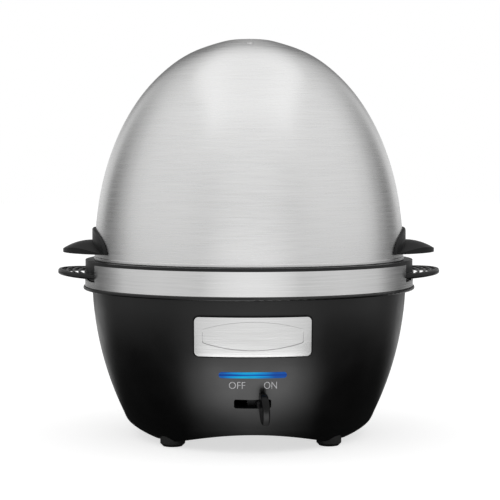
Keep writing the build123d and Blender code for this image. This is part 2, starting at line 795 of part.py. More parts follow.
# Thermostat on the middle of the casting, its strap and screws
thermostat_top = casting_bottom - seat_gap
thermostat_bottom = thermostat_top - thermostat_height
terminal_places = [(side * terminal_spacing / 2, 0) for side in (-1, 1)]
with BuildPart() as thermostat:
    disc(thermostat_radius, thermostat_bottom, thermostat_top)
    with BuildSketch(Plane.XY.offset(thermostat_bottom)):
        with Locations(*terminal_places):
            Rectangle(terminal_thickness, terminal_width)
    extrude(amount=-terminal_length)
thermostat.part.label = "thermostat"
export_step(thermostat.part, "parts/thermostat.step")

with BuildPart() as thermostat_bracket:
    with BuildSketch(Plane(origin=(0, 0, thermostat_top), x_dir=(1, 0, 0), z_dir=(0, -1, 0))):
        strap_face(thermostat_radius + pass_gap, thermostat_height + seat_gap, thermostat_strap_half_length)
    extrude(amount=thermostat_strap_width / 2, both=True)
    with BuildSketch(Plane.XY.offset(thermostat_bottom - strap_thickness - 2 * seat_gap)):
        Rectangle(terminal_spacing + 3 * terminal_thickness, terminal_width + 2 * pass_gap)
    extrude(amount=strap_thickness + 2 * seat_gap, mode=Mode.SUBTRACT)
    hole_bottom = thermostat_top - strap_thickness
    posts(screw_radius + pass_gap, thermostat_screw_places, hole_bottom, thermostat_top, mode=Mode.SUBTRACT)
thermostat_bracket.part.label = "thermostat_bracket"
export_step(thermostat_bracket.part, "parts/thermostat_bracket.step")

strap_screw_length = strap_thickness + screw_bite
with BuildPart() as thermostat_screws:
    for place in thermostat_screw_places:
        head_face = Plane(
            origin=(place[0], place[1], thermostat_top - strap_thickness - seat_gap), z_dir=(0, 0, -1))
        screw(head_face, strap_screw_length)
thermostat_screws.part.label = "thermostat_screws"
export_step(thermostat_screws.part, "parts/thermostat_screws.step")

# Thermal fuse under the casting, its clip and screws
fuse_axis_height = casting_bottom - seat_gap - fuse_radius
with BuildPart() as thermal_fuse:
    with BuildSketch(Plane(origin=(0, -fuse_distance, fuse_axis_height), z_dir=(1, 0, 0))):
        Circle(fuse_radius)
    extrude(amount=fuse_length / 2, both=True)
    with BuildSketch(Plane(origin=(0, -fuse_distance, fuse_axis_height), z_dir=(1, 0, 0))):
        Circle(fuse_wire_radius)
    extrude(amount=fuse_length / 2 + fuse_wire_length, both=True)
thermal_fuse.part.label = "thermal_fuse"
export_step(thermal_fuse.part, "parts/thermal_fuse.step")

fuse_clip_top = casting_bottom - seat_gap
with BuildPart() as fuse_clip:
    with BuildSketch(Plane(origin=(0, -fuse_distance, fuse_clip_top), x_dir=(0, 1, 0), z_dir=(1, 0, 0))):
        strap_face(fuse_radius + seat_gap, 2 * fuse_radius + seat_gap, fuse_strap_half_length)
    extrude(amount=fuse_strap_width / 2, both=True)
    posts(screw_radius + pass_gap, fuse_screw_places, fuse_clip_top - strap_thickness, fuse_clip_top,
          mode=Mode.SUBTRACT)
fuse_clip.part.label = "fuse_clip"
export_step(fuse_clip.part, "parts/fuse_clip.step")

with BuildPart() as fuse_clip_screws:
    for place in fuse_screw_places:
        head_face = Plane(
            origin=(place[0], place[1], fuse_clip_top - strap_thickness - seat_gap), z_dir=(0, 0, -1))
        screw(head_face, strap_screw_length)
fuse_clip_screws.part.label = "fuse_clip_screws"
export_step(fuse_clip_screws.part, "parts/fuse_clip_screws.step")

# Nameplate bezel: a frame with a floor that lies in the wall's shallow recess
with BuildPart() as nameplate_bezel:
    add(wall_tile(bezel_skin, bezel_width, bezel_tall, bezel_round))
    add(wall_tile(bezel_pocket, nameplate_width + 2 * seat_gap, nameplate_tall + 2 * seat_gap,
                  nameplate_round), mode=Mode.SUBTRACT)
nameplate_bezel.part.label = "nameplate_bezel"
export_step(nameplate_bezel.part, "parts/nameplate_bezel.step")

def barrel(inset):
    """A lying barrel with bowed long sides and upright ends, drawn in by the inset."""
    half_width = bead_width / 2 - inset
    half_end = bead_end / 2 - inset / 2
    half_tall = bead_tall / 2 - inset
    with BuildSketch(Plane(origin=(0, 0, nameplate_height), x_dir=(1, 0, 0), z_dir=(0, -1, 0))) as face:
        with BuildLine():
            ThreePointArc((-half_width, half_end), (0, half_tall), (half_width, half_end))
            Line((half_width, half_end), (half_width, -half_end))
            ThreePointArc((half_width, -half_end), (0, -half_tall), (-half_width, -half_end))
            Line((-half_width, -half_end), (-half_width, half_end))
        make_face()
        fillet(face.vertices(), radius=bead_round - inset)
    return face.sketch


# Nameplate: a bare plate with a raised bead
with BuildPart() as nameplate_bead:
    extrude(barrel(0), amount=2 * flange_radius)
    extrude(barrel(bead_line), amount=2 * flange_radius, mode=Mode.SUBTRACT)
    add(bead_skin, mode=Mode.INTERSECT)
with BuildPart() as nameplate:
    add(wall_tile(nameplate_skin, nameplate_width, nameplate_tall, nameplate_round))
    add(nameplate_bead.part)
nameplate.part.label = "nameplate"
export_step(nameplate.part, "parts/nameplate.step")

# Indicator: a light bar flush with the wall, with a flange behind it
with BuildPart() as lens_bar:
    with BuildSketch(Plane.XZ.offset(-lens_flange_front)):
        with Locations((0, lens_height)):
            SlotOverall(lens_width, lens_tall)
    extrude(amount=2 * lens_flange_inset)
    add(wall_skin(0, -3 * lens_flange_inset, lens_height - lens_tall, lens_height + lens_tall),
        mode=Mode.INTERSECT)
with BuildPart() as indicator_lens:
    add(lens_bar.part)
    with BuildSketch(Plane.XZ.offset(-lens_flange_front)):
        with Locations((0, lens_height)):
            SlotOverall(lens_width + 2 * lens_flange, lens_tall + 2 * lens_flange)
    extrude(amount=-lens_flange_thickness)
indicator_lens.part.label = "indicator_lens"
export_step(indicator_lens.part, "parts/indicator_lens.step")

led_places = [(side * led_spread, lens_height) for side in (-1, 0, 1)]
with BuildPart() as indicator_leds:
    with BuildSketch(Plane.XZ.offset(-led_front)):
        with Locations(*led_places):
            Rectangle(led_width, led_width)
    extrude(amount=-led_height)
indicator_leds.part.label = "indicator_leds"
export_step(indicator_leds.part, "parts/indicator_leds.step")

with BuildPart() as indicator_board:
    with BuildSketch(Plane.XZ.offset(-board_front)):
        with Locations((0, lens_height)):
            Rectangle(board_width, board_tall)
        with Locations(*board_boss_places):
            Circle(screw_radius + pass_gap, mode=Mode.SUBTRACT)
    extrude(amount=-board_thickness)
indicator_board.part.label = "indicator_board"
export_step(indicator_board.part, "parts/indicator_board.step")

with BuildPart() as board_screws:
    for place in board_boss_places:
        head_face = Plane(origin=(place[0], board_rear + seat_gap, place[1]), z_dir=(0, 1, 0))
        screw(head_face, board_thickness + screw_bite)
board_screws.part.label = "board_screws"
export_step(board_screws.part, "parts/board_screws.step")

with BuildPart() as buzzer:
    with BuildSketch(Plane(origin=(buzzer_offset, board_rear + seat_gap, lens_height), z_dir=(0, 1, 0))):
        Circle(buzzer_radius)
    extrude(amount=buzzer_length)
    buzzer_end = (buzzer_offset, board_rear + buzzer_length, lens_height)
    with BuildSketch(Plane(origin=buzzer_end, z_dir=(0, 1, 0))):
        Circle(buzzer_radius / 6)
    extrude(amount=buzzer_length, both=True, mode=Mode.SUBTRACT)
buzzer.part.label = "buzzer"
export_step(buzzer.part, "parts/buzzer.step")

# Lever arm: hub, bar, dust shield behind the slot, neck through it, and a fork at the rear
shield_inner = shield_radius - shield_thickness
neck_end = pivot_depth + paddle_stand_off - seat_gap
fork_inner = knob_radius + knob_gap
fork_end = fork_distance + fork_depth
with BuildPart() as lever_arm:
    with BuildSketch(arm_plane.offset(arm_bottom)):
        Circle(hub_radius)
        with Locations((0, -shield_inner / 2)):
            Rectangle(arm_width, shield_inner)
        with Locations((0, fork_end / 2)):
            Rectangle(2 * (fork_inner + fork_wall), fork_end)
        with Locations((0, fork_end)):
            Rectangle(2 * fork_inner, 2 * (fork_end - fork_distance + knob_radius + pass_gap),
                      mode=Mode.SUBTRACT)
    extrude(amount=arm_thickness)
    with BuildSketch(arm_plane.offset(-shield_tall / 2)):
        Circle(shield_radius)
        Circle(shield_inner, mode=Mode.SUBTRACT)
        with Locations((0, -shield_radius)):
            Rectangle(shield_width, shield_radius, mode=Mode.INTERSECT)
    extrude(amount=shield_tall)
    with BuildSketch(arm_plane.offset(-neck_tall / 2)):
        with Locations((0, -(shield_inner + neck_end) / 2)):
            Rectangle(neck_width, neck_end - shield_inner)
        with Locations((0, -neck_end - tongue_length / 2)):
            Rectangle(tongue_thickness, tongue_length + seat_gap)
    extrude(amount=neck_tall)
    with BuildSketch(arm_plane):
        Circle(pin_radius + pin_running_gap)
    extrude(amount=arm_thickness, both=True, mode=Mode.SUBTRACT)
lever_arm.part.label = "lever_arm"
export_step(lever_arm.part, "parts/lever_arm.step")

# Lever paddle: an upright oval fin pushed onto the arm's tongue
paddle_plane = Plane(origin=arm_plane.origin, x_dir=-arm_plane.y_dir, z_dir=-arm_plane.x_dir)
paddle_back = pivot_depth + paddle_stand_off
with BuildPart() as lever_paddle:
    with BuildSketch(paddle_plane):
        with Locations((paddle_centre, 0)):
            Ellipse(paddle_depth_radius, paddle_tall_radius, rotation=math.degrees(slot_lean))
    extrude(amount=paddle_thickness / 2, both=True)
    fillet(lever_paddle.edges().filter_by(GeomType.ELLIPSE), radius=paddle_round)
    with BuildSketch(paddle_plane):
        with Locations((paddle_back - paddle_centre, 0)):
            Rectangle(2 * paddle_centre, 4 * paddle_tall_radius)
    extrude(amount=paddle_thickness, both=True, mode=Mode.SUBTRACT)
    with BuildSketch(arm_plane.offset(-neck_tall / 2 - fit_gap)):
        with Locations((0, -paddle_back - tongue_length / 2)):
            Rectangle(tongue_thickness + 2 * fit_gap, tongue_length + 2 * fit_gap)
    extrude(amount=neck_tall + 2 * fit_gap, mode=Mode.SUBTRACT)
lever_paddle.part.label = "lever_paddle"
export_step(lever_paddle.part, "parts/lever_paddle.step")

# Switch bracket with its pivot post, and the pin that holds the arm on it
with BuildPart() as switch_bracket:
    with BuildSketch(lever_plane.offset(bracket_bottom)):
        with Locations((0, (bracket_rear - bracket_front) / 2)):
            Rectangle(bracket_width, bracket_front + bracket_rear)
        with Locations(*bracket_boss_places):
            Circle(screw_radius + pass_gap, mode=Mode.SUBTRACT)
    extrude(amount=bracket_thickness)
    with BuildSketch(lever_plane.offset(bracket_top)):
        Circle(hub_radius)
        with Locations((0, fork_distance)):
            Rectangle(switch_length, switch_depth + 2 * pass_gap, mode=Mode.SUBTRACT)
    extrude(amount=arm_bottom - seat_gap - bracket_top)
    with BuildSketch(lever_plane.offset(bracket_bottom)):
        Circle(pin_radius + fit_gap)
    extrude(amount=2 * arm_thickness - bracket_bottom, mode=Mode.SUBTRACT)
switch_bracket.part.label = "switch_bracket"
export_step(switch_bracket.part, "parts/switch_bracket.step")

with BuildPart() as lever_pivot_pin:
    screw(lever_plane.offset(-arm_bottom + seat_gap), -bracket_bottom - arm_bottom + seat_gap + 1,
          pin_head_radius, pin_head_height, pin_radius)
lever_pivot_pin.part.label = "lever_pivot_pin"
export_step(lever_pivot_pin.part, "parts/lever_pivot_pin.step")

with BuildPart() as bracket_screws:
    for place in bracket_boss_places:
        head_face = lever_plane.offset(bracket_top + seat_gap)
        screw(Plane(origin=head_face.from_local_coords((place[0], place[1], 0)), z_dir=head_face.z_dir),
              bracket_thickness + screw_bite)
bracket_screws.part.label = "bracket_screws"
export_step(bracket_screws.part, "parts/bracket_screws.step")

# Switch body with a channel for its slider; the slider's knob stands in the arm's fork
channel_half = (shoe_length + slider_travel) / 2 + pass_gap
window_half = knob_radius + slider_travel / 2 + pass_gap
shoe_bottom = switch_bottom + switch_floor + seat_gap
with BuildPart() as switch_body:
    with BuildSketch(lever_plane.offset(switch_bottom)):
        with Locations((0, fork_distance)):
            Rectangle(switch_length, switch_depth)
    extrude(amount=switch_tall)
    with BuildSketch(lever_plane.offset(switch_bottom + switch_floor)):
        with Locations((0, fork_distance)):
            Rectangle(2 * channel_half, shoe_width + 2 * pass_gap)
    extrude(amount=shoe_height + 2 * seat_gap, mode=Mode.SUBTRACT)
    with BuildSketch(lever_plane.offset(switch_bottom + switch_floor)):
        with Locations((0, fork_distance)):
            Rectangle(2 * window_half, 2 * (knob_radius + seat_gap))
    extrude(amount=switch_tall, mode=Mode.SUBTRACT)
switch_body.part.label = "switch_body"
export_step(switch_body.part, "parts/switch_body.step")

with BuildPart() as switch_slider:
    with BuildSketch(lever_plane.offset(shoe_bottom)):
        with Locations((slider_place, fork_distance)):
            Rectangle(shoe_length, shoe_width)
    extrude(amount=shoe_height)
    with BuildSketch(lever_plane.offset(shoe_bottom)):
        with Locations((slider_place, fork_distance)):
            Circle(knob_radius)
    extrude(amount=-arm_bottom - shoe_bottom)
switch_slider.part.label = "switch_slider"
export_step(switch_slider.part, "parts/switch_slider.step")

tab_middle_distance = fork_distance + (switch_depth + terminal_length + seat_gap) / 2
tab_places = [(side * switch_length / 3, tab_middle_distance) for side in (-1, 1)]
with BuildPart() as switch_terminals:
    with BuildSketch(lever_plane.offset(switch_bottom + switch_floor)):
        with Locations(*tab_places):
            Rectangle(terminal_width, terminal_length)
    extrude(amount=terminal_thickness)
switch_terminals.part.label = "switch_terminals"
export_step(switch_terminals.part, "parts/switch_terminals.step")

# Bottom cover with its vents and screws
with BuildPart() as bottom_cover:
    disc(cover_radius, cover_height, cover_top)
    disc(cover_opening_radius - pass_gap, cover_top, pocket_floor_top)
    disc(cover_opening_radius - pass_gap - cover_pocket_wall, cover_top, pocket_floor_top,
         mode=Mode.SUBTRACT)
    with BuildSketch(Plane.XY.offset(cover_height)):
        with GridLocations(0, cover_vent_pitch, 1, cover_vent_count):
            SlotOverall(cover_vent_length, cover_vent_width)
    extrude(amount=cover_thickness, mode=Mode.SUBTRACT)
    posts(screw_radius + pass_gap, cover_screw_places, cover_height, cover_top, mode=Mode.SUBTRACT)
bottom_cover.part.label = "bottom_cover"
export_step(bottom_cover.part, "parts/bottom_cover.step")

with BuildPart() as cover_screws:
    for place in cover_screw_places:
        head_face = Plane(origin=(place[0], place[1], cover_height - seat_gap), z_dir=(0, 0, -1))
        screw(head_face, cover_thickness + screw_bite)
cover_screws.part.label = "cover_screws"
export_step(cover_screws.part, "parts/cover_screws.step")

# Feet and their screws
foot_names = ("foot_front_left", "foot_front_right", "foot_rear_left", "foot_rear_right")
for name, place in zip(foot_names, foot_places):
    with BuildPart() as foot:
        posts(foot_radius, [place], 0, foot_height)
        bottom_edges = foot.edges().group_by(Axis.Z)[0]
        chamfer(bottom_edges, length=foot_chamfer)
        posts(foot_screw_head_radius + pass_gap, [place], 0, foot_bore_depth, mode=Mode.SUBTRACT)
        posts(foot_screw_radius + pass_gap, [place], foot_bore_depth, foot_height, mode=Mode.SUBTRACT)
    foot.part.label = name
    export_step(foot.part, f"parts/{name}.step")

with BuildPart() as foot_screws:
    for place in foot_places:
        head_face = Plane(origin=(place[0], place[1], foot_bore_depth - seat_gap), z_dir=(0, 0, -1))
        screw(head_face, foot_screw_length, foot_screw_head_radius, foot_screw_head_height,
              foot_screw_radius)
foot_screws.part.label = "foot_screws"
export_step(foot_screws.part, "parts/foot_screws.step")

# Terminal block on its two posts behind the middle
block_bottom = block_boss_top + seat_gap
block_top = block_bottom + block_tall
block_hole_places = [(step * block_pitch, block_distance) for step in (-1, 0, 1)]
with BuildPart() as terminal_block:
    with BuildSketch(Plane.XY.offset(block_bottom)):
        with Locations((0, block_distance)):
            Rectangle(block_width, block_depth)
    extrude(amount=block_tall)
    with BuildSketch(Plane.XZ):
        with Locations(*[(place[0], block_bottom + block_tall / 3) for place in block_hole_places]):
            Circle(block_hole_radius)
    extrude(amount=-2 * block_distance, mode=Mode.SUBTRACT)
    posts(block_screw_radius + fit_gap, block_hole_places, block_bottom + block_tall / 3, block_top,
          mode=Mode.SUBTRACT)
    posts(screw_radius + pass_gap, block_boss_places, block_bottom, block_top, mode=Mode.SUBTRACT)
terminal_block.part.label = "terminal_block"
export_step(terminal_block.part, "parts/terminal_block.step")

with BuildPart() as terminal_screws:
    for place in block_hole_places:
        head_face = Plane(origin=(place[0], place[1], block_top - block_screw_height))
        screw(head_face, block_tall / 4, block_screw_radius, block_screw_height, block_screw_radius / 2)
terminal_screws.part.label = "terminal_screws"
export_step(terminal_screws.part, "parts/terminal_screws.step")

with BuildPart() as block_screws:
    for place in block_boss_places:
        head_face = Plane(origin=(place[0], place[1], block_top + seat_gap))
        screw(head_face, block_tall + screw_bite)
block_screws.part.label = "block_screws"
export_step(block_screws.part, "parts/block_screws.step")

# Cord gland through the pad at the rear, and its nut inside
gland_front = gland_face + seat_gap
nut_face = gland_inner_face - seat_gap
with BuildPart() as cord_gland:
    with BuildSketch(Plane.XZ.offset(-gland_front - gland_flange_thickness)):
        with Locations((0, gland_height)):
            Circle(gland_flange_radius)
    extrude(amount=gland_flange_thickness)
    with BuildSketch(Plane.XZ.offset(-gland_front)):
        with Locations((0, gland_height)):
            Circle(gland_tube_radius)
    extrude(amount=gland_front - nut_face + gland_nut_thickness + gland_tail)
    outer_edges = cord_gland.edges().filter_by(GeomType.CIRCLE).sort_by(Axis.Y)[-1]
    fillet(outer_edges, radius=gland_flange_thickness / 3)
    with BuildSketch(Plane.XZ.offset(-2 * gland_front)):
        with Locations((0, gland_height)):
            Circle(gland_bore_radius)
    extrude(amount=2 * gland_front, mode=Mode.SUBTRACT)
cord_gland.part.label = "cord_gland"
export_step(cord_gland.part, "parts/cord_gland.step")

with BuildPart() as gland_nut:
    with BuildSketch(Plane.XZ.offset(-nut_face)):
        with Locations((0, gland_height)):
            RegularPolygon(gland_nut_radius, 6)
            Circle(gland_tube_radius + fit_gap, mode=Mode.SUBTRACT)
    extrude(amount=gland_nut_thickness)
gland_nut.part.label = "gland_nut"
export_step(gland_nut.part, "parts/gland_nut.step")

# Lower egg tray: dish, rim, locating ring, egg holes, leg cups, and the two webs with their grips
cup_places = [polar(leg_circle, angle) for angle in circle_angles(leg_angle, upper_ring_count)]
egg_places = [(0, 0)] + [polar(lower_ring_radius, 360 / lower_ring_count * step)
                         for step in range(lower_ring_count)]
steam_angles = [180 / lower_ring_count * (2 * step + 1) for step in range(lower_ring_count)]
inner_steam_places = [polar(inner_steam_radius, angle) for angle in steam_angles]
outer_steam_places = [polar(outer_steam_radius, angle + side * steam_pair_spread)
                      for angle in steam_angles for side in (-1, 1)]
collar_top_height = tray_plate_top + egg_collar_height

with BuildPart() as grip:
    with BuildSketch(Plane.XY.offset(grip_height)):
        with Locations((grip_root_radius, 0)):
            Ellipse(grip_reach, grip_half_width)
        Circle(web_outer - web_thickness / 2, mode=Mode.SUBTRACT)
    extrude(amount=grip_thickness)
    fillet(grip.edges().filter_by(GeomType.ELLIPSE), radius=grip_thickness / 3)
    with BuildSketch(Plane.XY.offset(grip_height - grip_thickness)):
        for radius in reversed(grip_slot_radii):
            Circle(radius + grip_slot_width)
            Circle(radius, mode=Mode.SUBTRACT)
        with Locations((grip_root_radius, 0)):
            Ellipse(grip_reach - grip_rim, grip_half_width - grip_rim, mode=Mode.INTERSECT)
    extrude(amount=3 * grip_thickness, mode=Mode.SUBTRACT)
    with BuildSketch(Plane.XY.offset(grip_height)):
        with Locations((grip_root_radius, 0)):
            Ellipse(grip_reach - grip_rim, grip_half_width - grip_rim)
        Circle(grip_slot_radii[0], mode=Mode.SUBTRACT)
    extrude(amount=grip_thickness - grip_rib_tall, mode=Mode.SUBTRACT)
grip_hinge = Axis((web_outer - web_thickness / 2, 0, grip_height), (0, 1, 0))
grip_right = grip.part.rotate(grip_hinge, -grip_tilt)
grip_left = grip_right.rotate(Axis.Z, 180)

with BuildPart() as tray_webs:
    ring(web_outer, web_inner, grip_height, ledge_bottom)
    with BuildSketch(Plane.XY.offset(grip_height)):
        Rectangle(3 * web_outer, 2 * (notch_half_width - 2 * pass_gap))
    extrude(amount=ledge_bottom - grip_height, mode=Mode.INTERSECT)

with BuildPart() as lower_egg_tray:
    with BuildSketch(Plane.XZ):
        with BuildLine():
            Polyline(
                (0, tray_plate_bottom), (dish_outer, tray_plate_bottom), (dish_outer, ledge_bottom),
                (web_outer, ledge_bottom), (web_outer, ledge_top), (ring_outer, ledge_top),
                (ring_outer, ledge_top + locating_ring_height),
                (ring_inner, ledge_top + locating_ring_height),
                (ring_inner, ledge_top), (dish_inner, ledge_top), (dish_inner, tray_plate_top),
                (0, tray_plate_top), close=True,
            )
        make_face()
    revolve(axis=Axis.Z)
    posts(egg_hole_radius + egg_collar_wall, egg_places, tray_plate_top, collar_top_height)
    posts(leg_foot_radius + lift_gap + leg_cup_wall, cup_places, tray_plate_top,
          tray_plate_top + leg_cup_height)
    posts(egg_hole_radius, egg_places, tray_plate_bottom, collar_top_height, mode=Mode.SUBTRACT)
    posts(leg_foot_radius + lift_gap, cup_places, tray_plate_top, tray_plate_top + leg_cup_height,
          mode=Mode.SUBTRACT)
    posts(steam_hole_radius, inner_steam_places + outer_steam_places, tray_plate_bottom, tray_plate_top,
          mode=Mode.SUBTRACT)
    add(tray_webs.part)
    add(grip_right)
    add(grip_left)
lower_egg_tray.part.label = "lower_egg_tray"
export_step(lower_egg_tray.part, "parts/lower_egg_tray.step")

# Upper egg tray on three legs that stand in the lower tray's cups
leg_bottom = tray_plate_top + seat_gap
upper_egg_places = [polar(upper_ring_radius, angle)
                    for angle in circle_angles(leg_angle + 180 / upper_ring_count, upper_ring_count)]
upper_vent_places = [polar(upper_vent_circle, angle) for angle in circle_angles(leg_angle, upper_ring_count)]
upper_top = upper_plate_height + tray_plate_thickness
with BuildPart() as upper_egg_tray:
    disc(upper_plate_radius, upper_plate_height, upper_top)
    ring(upper_plate_radius, upper_plate_radius - upper_lip_wall, upper_top, upper_top + upper_lip_height)
    posts(egg_hole_radius + egg_collar_wall, upper_egg_places, upper_top, upper_top + egg_collar_height)
    posts(egg_hole_radius, upper_egg_places, upper_plate_height, upper_top + egg_collar_height,
          mode=Mode.SUBTRACT)
    posts(upper_vent_radius, upper_vent_places, upper_plate_height, upper_top, mode=Mode.SUBTRACT)
    for place in cup_places:
        with Locations((place[0], place[1], leg_bottom)):
            Cone(leg_foot_radius, leg_top_radius, upper_plate_height - leg_bottom,
                 align=(Align.CENTER, Align.CENTER, Align.MIN))
upper_egg_tray.part.label = "upper_egg_tray"
export_step(upper_egg_tray.part, "parts/upper_egg_tray.step")

# Lid: an egg-shaped shell with a rolled hem, a vent hole, and holes for the handle screws
handle_angles = [base + side * handle_screw_spread for base in (0, 180) for side in (-1, 1)]
dome_outer = dome_blank(dome_radius, dome_height, dome_base)
dome_void = dome_blank(dome_radius - dome_wall, dome_height - dome_wall, dome_base)
with BuildPart() as lid_dome:
    add(dome_outer)
    ring(dome_radius + hem_bulge, dome_radius - dome_wall, dome_base, dome_base + hem_height)
    hem_edges = [edge for edge in lid_dome.edges().filter_by(GeomType.CIRCLE)
                 if abs(edge.radius - dome_radius - hem_bulge) < 0.01]
    fillet(hem_edges, radius=hem_bulge)
    add(dome_void, mode=Mode.SUBTRACT)
    with BuildSketch(Plane.XY.offset(dome_base + dome_height / 2)):
        with Locations((0, -vent_offset)):
            Circle(vent_radius)
    extrude(amount=dome_height, mode=Mode.SUBTRACT)
    for angle in handle_angles:
        with BuildSketch(Plane(origin=(0, 0, handle_screw_height), z_dir=(*polar(1, angle), 0))):
            Circle(screw_radius + pass_gap)
        extrude(amount=2 * dome_radius, mode=Mode.SUBTRACT)
lid_dome.part.label = "lid_dome"
export_step(lid_dome.part, "parts/lid_dome.step")

# Lid handles: an arched back plate that hugs the dome, and a leaf-shaped wing with a crowned top
handle_blank = dome_blank(dome_radius + plate_gap, dome_height + plate_gap, dome_base)
with BuildPart() as handle_plate:
    with BuildSketch(Plane.YZ.offset(dome_radius / 2)):
        with Locations((0, handle_base_height)):
            Ellipse(plate_half_width, plate_rise)
        with Locations((0, handle_base_height + plate_rise)):
            Rectangle(2 * plate_half_width, 2 * plate_rise, mode=Mode.INTERSECT)
    extrude(amount=dome_radius)
    with BuildSketch(Plane.XY.offset(handle_base_height)):
        Circle(plate_radius)
    extrude(amount=2 * plate_rise, mode=Mode.INTERSECT)
    outer_edges = [edge for edge in handle_plate.edges()
                   if edge.center().X > plate_radius - plate_rise
                   and edge.center().Z > handle_base_height + plate_round]
    fillet(outer_edges, radius=plate_round)

wing_reach = dome_radius + wing_length
wing_corner = (dome_radius - wing_corner_inset, wing_half_width)
wing_bulge = (dome_radius + wing_bulge_length, wing_bulge_half_width)
wing_bend_start = dome_radius + wing_level
crown_axis_height = wing_root_height - wing_crown_radius
crown_reach = wing_reach + 1
crown_drop = wing_bend_radius - math.sqrt(wing_bend_radius ** 2 - (crown_reach - wing_bend_start) ** 2)
with BuildPart() as handle_wing:
    with BuildSketch(Plane.XY.offset(handle_base_height)) as wing_plan:
        with BuildLine():
            ThreePointArc(wing_corner, wing_bulge, (wing_reach, 0))
            ThreePointArc((wing_reach, 0), (wing_bulge[0], -wing_bulge[1]),
                          (wing_corner[0], -wing_corner[1]))
            Line((wing_corner[0], -wing_corner[1]), wing_corner)
        make_face()
        fillet(wing_plan.vertices().sort_by(Axis.X)[-1], radius=wing_tip_round)
    extrude(amount=2 * plate_rise)
    with BuildSketch(Plane.XZ):
        with BuildLine():
            root = wing_corner[0] - wing_tip_round
            Line((root, crown_axis_height), (root, wing_root_height))
            Line((root, wing_root_height), (wing_bend_start, wing_root_height))
            RadiusArc((wing_bend_start, wing_root_height), (crown_reach, wing_root_height - crown_drop),
                      wing_bend_radius)
            Line((crown_reach, wing_root_height - crown_drop), (crown_reach, crown_axis_height))
            Line((crown_reach, crown_axis_height), (root, crown_axis_height))
        make_face()
    revolve(axis=Axis((0, 0, crown_axis_height), (1, 0, 0)), mode=Mode.INTERSECT)

handle_screw_face = dome_radius - dome_wall - handle_screw_inset
with BuildPart() as lid_handle_right:
    add(handle_plate.part)
    add(handle_wing.part)
    add(handle_blank, mode=Mode.SUBTRACT)
    for angle in handle_angles[:2]:
        with BuildSketch(Plane(origin=(0, 0, handle_screw_height), z_dir=(*polar(1, angle), 0))):
            Circle(screw_radius + fit_gap)
        extrude(amount=handle_screw_face + handle_screw_length + bore_spare, mode=Mode.SUBTRACT)
lid_handle_right.part.label = "lid_handle_right"
export_step(lid_handle_right.part, "parts/lid_handle_right.step")

with BuildPart() as lid_handle_left:
    add(lid_handle_right.part.rotate(Axis.Z, 180))
lid_handle_left.part.label = "lid_handle_left"
export_step(lid_handle_left.part, "parts/lid_handle_left.step")

with BuildPart() as lid_handle_screws:
    for angle in handle_angles:
        direction = polar(1, angle)
        screw_place = (*polar(handle_screw_face, angle), handle_screw_height)
        head_face = Plane(origin=screw_place, z_dir=(-direction[0], -direction[1], 0))
        screw(head_face, handle_screw_length)
lid_handle_screws.part.label = "lid_handle_screws"
export_step(lid_handle_screws.part, "parts/lid_handle_screws.step")

# Internal leads, each one length of insulated wire with its ends against what it joins
tab_tip = fork_distance + switch_depth / 2 + terminal_length + seat_gap
tab_middle = switch_bottom + switch_floor + terminal_thickness / 2
tab_ends = [lever_plane.from_local_coords((side * switch_length / 3, tab_tip, tab_middle))
            for side in (-1, 1)]
tab_leaves = [lever_plane.from_local_coords((side * switch_length / 3, tab_tip + 2 * lead_bend, tab_middle))
              for side in (-1, 1)]
hole_height = block_bottom + block_tall / 3
block_front = block_distance - block_depth / 2
block_inside = block_front + lead_bite
blade_height = thermostat_bottom - terminal_length - seat_gap
lead_low = blade_height - 2 * lead_bend
fuse_end = fuse_length / 2 + fuse_wire_length + seat_gap
fuse_side = fuse_end + 2 * lead_bend
pin_height = pin_bottom - seat_gap
board_lead_height = lens_height + board_tall / 4


def internal_lead(points, name):
    """A wire along straight runs with rounded bends."""
    with BuildPart() as wire:
        with BuildLine() as route:
            FilletPolyline(*points, radius=lead_bend)
        with BuildSketch(Plane(origin=route.line @ 0, z_dir=route.line % 0)):
            Circle(lead_radius)
        sweep(path=route.line)
    wire.part.label = name
    export_step(wire.part, f"parts/{name}.step")


internal_lead([
    (-block_pitch, block_inside, hole_height),
    (-block_pitch, 0, hole_height),
    (tab_leaves[0].X, tab_leaves[0].Y, tab_leaves[0].Z),
    (tab_ends[0].X, tab_ends[0].Y, tab_ends[0].Z),
], "lead_supply_switch")
internal_lead([
    (tab_ends[1].X, tab_ends[1].Y, tab_ends[1].Z),
    (tab_leaves[1].X, tab_leaves[1].Y, tab_leaves[1].Z),
    (terminal_spacing / 2, 0, lead_low),
    (terminal_spacing / 2, 0, blade_height),
], "lead_switch_thermostat")
internal_lead([
    (-terminal_spacing / 2, 0, blade_height),
    (-terminal_spacing / 2, 0, lead_low),
    (-fuse_side, -fuse_distance / 2, lead_low),
    (-fuse_side, -fuse_distance, fuse_axis_height),
    (-fuse_end, -fuse_distance, fuse_axis_height),
], "lead_thermostat_fuse")
internal_lead([
    (fuse_end, -fuse_distance, fuse_axis_height),
    (fuse_side, -fuse_distance, fuse_axis_height),
    (fuse_side, -fuse_distance / 2, lead_low),
    (element_ends[0][0], element_ends[0][1], lead_low),
    (element_ends[0][0], element_ends[0][1], pin_height),
], "lead_fuse_element")
internal_lead([
    (element_ends[1][0], element_ends[1][1], pin_height),
    (element_ends[1][0], element_ends[1][1], lead_low),
    (block_pitch, block_front - 2 * lead_bend, lead_low - 2 * lead_bend),
    (block_pitch, block_front - 2 * lead_bend, hole_height),
    (block_pitch, block_inside, hole_height),
], "lead_element_supply")
internal_lead([
    (0, board_rear + seat_gap, board_lead_height),
    (0, 2 * lead_bend, board_lead_height),
    (0, block_front - 2 * lead_bend, hole_height),
    (0, block_inside, hole_height),
], "lead_indicator")
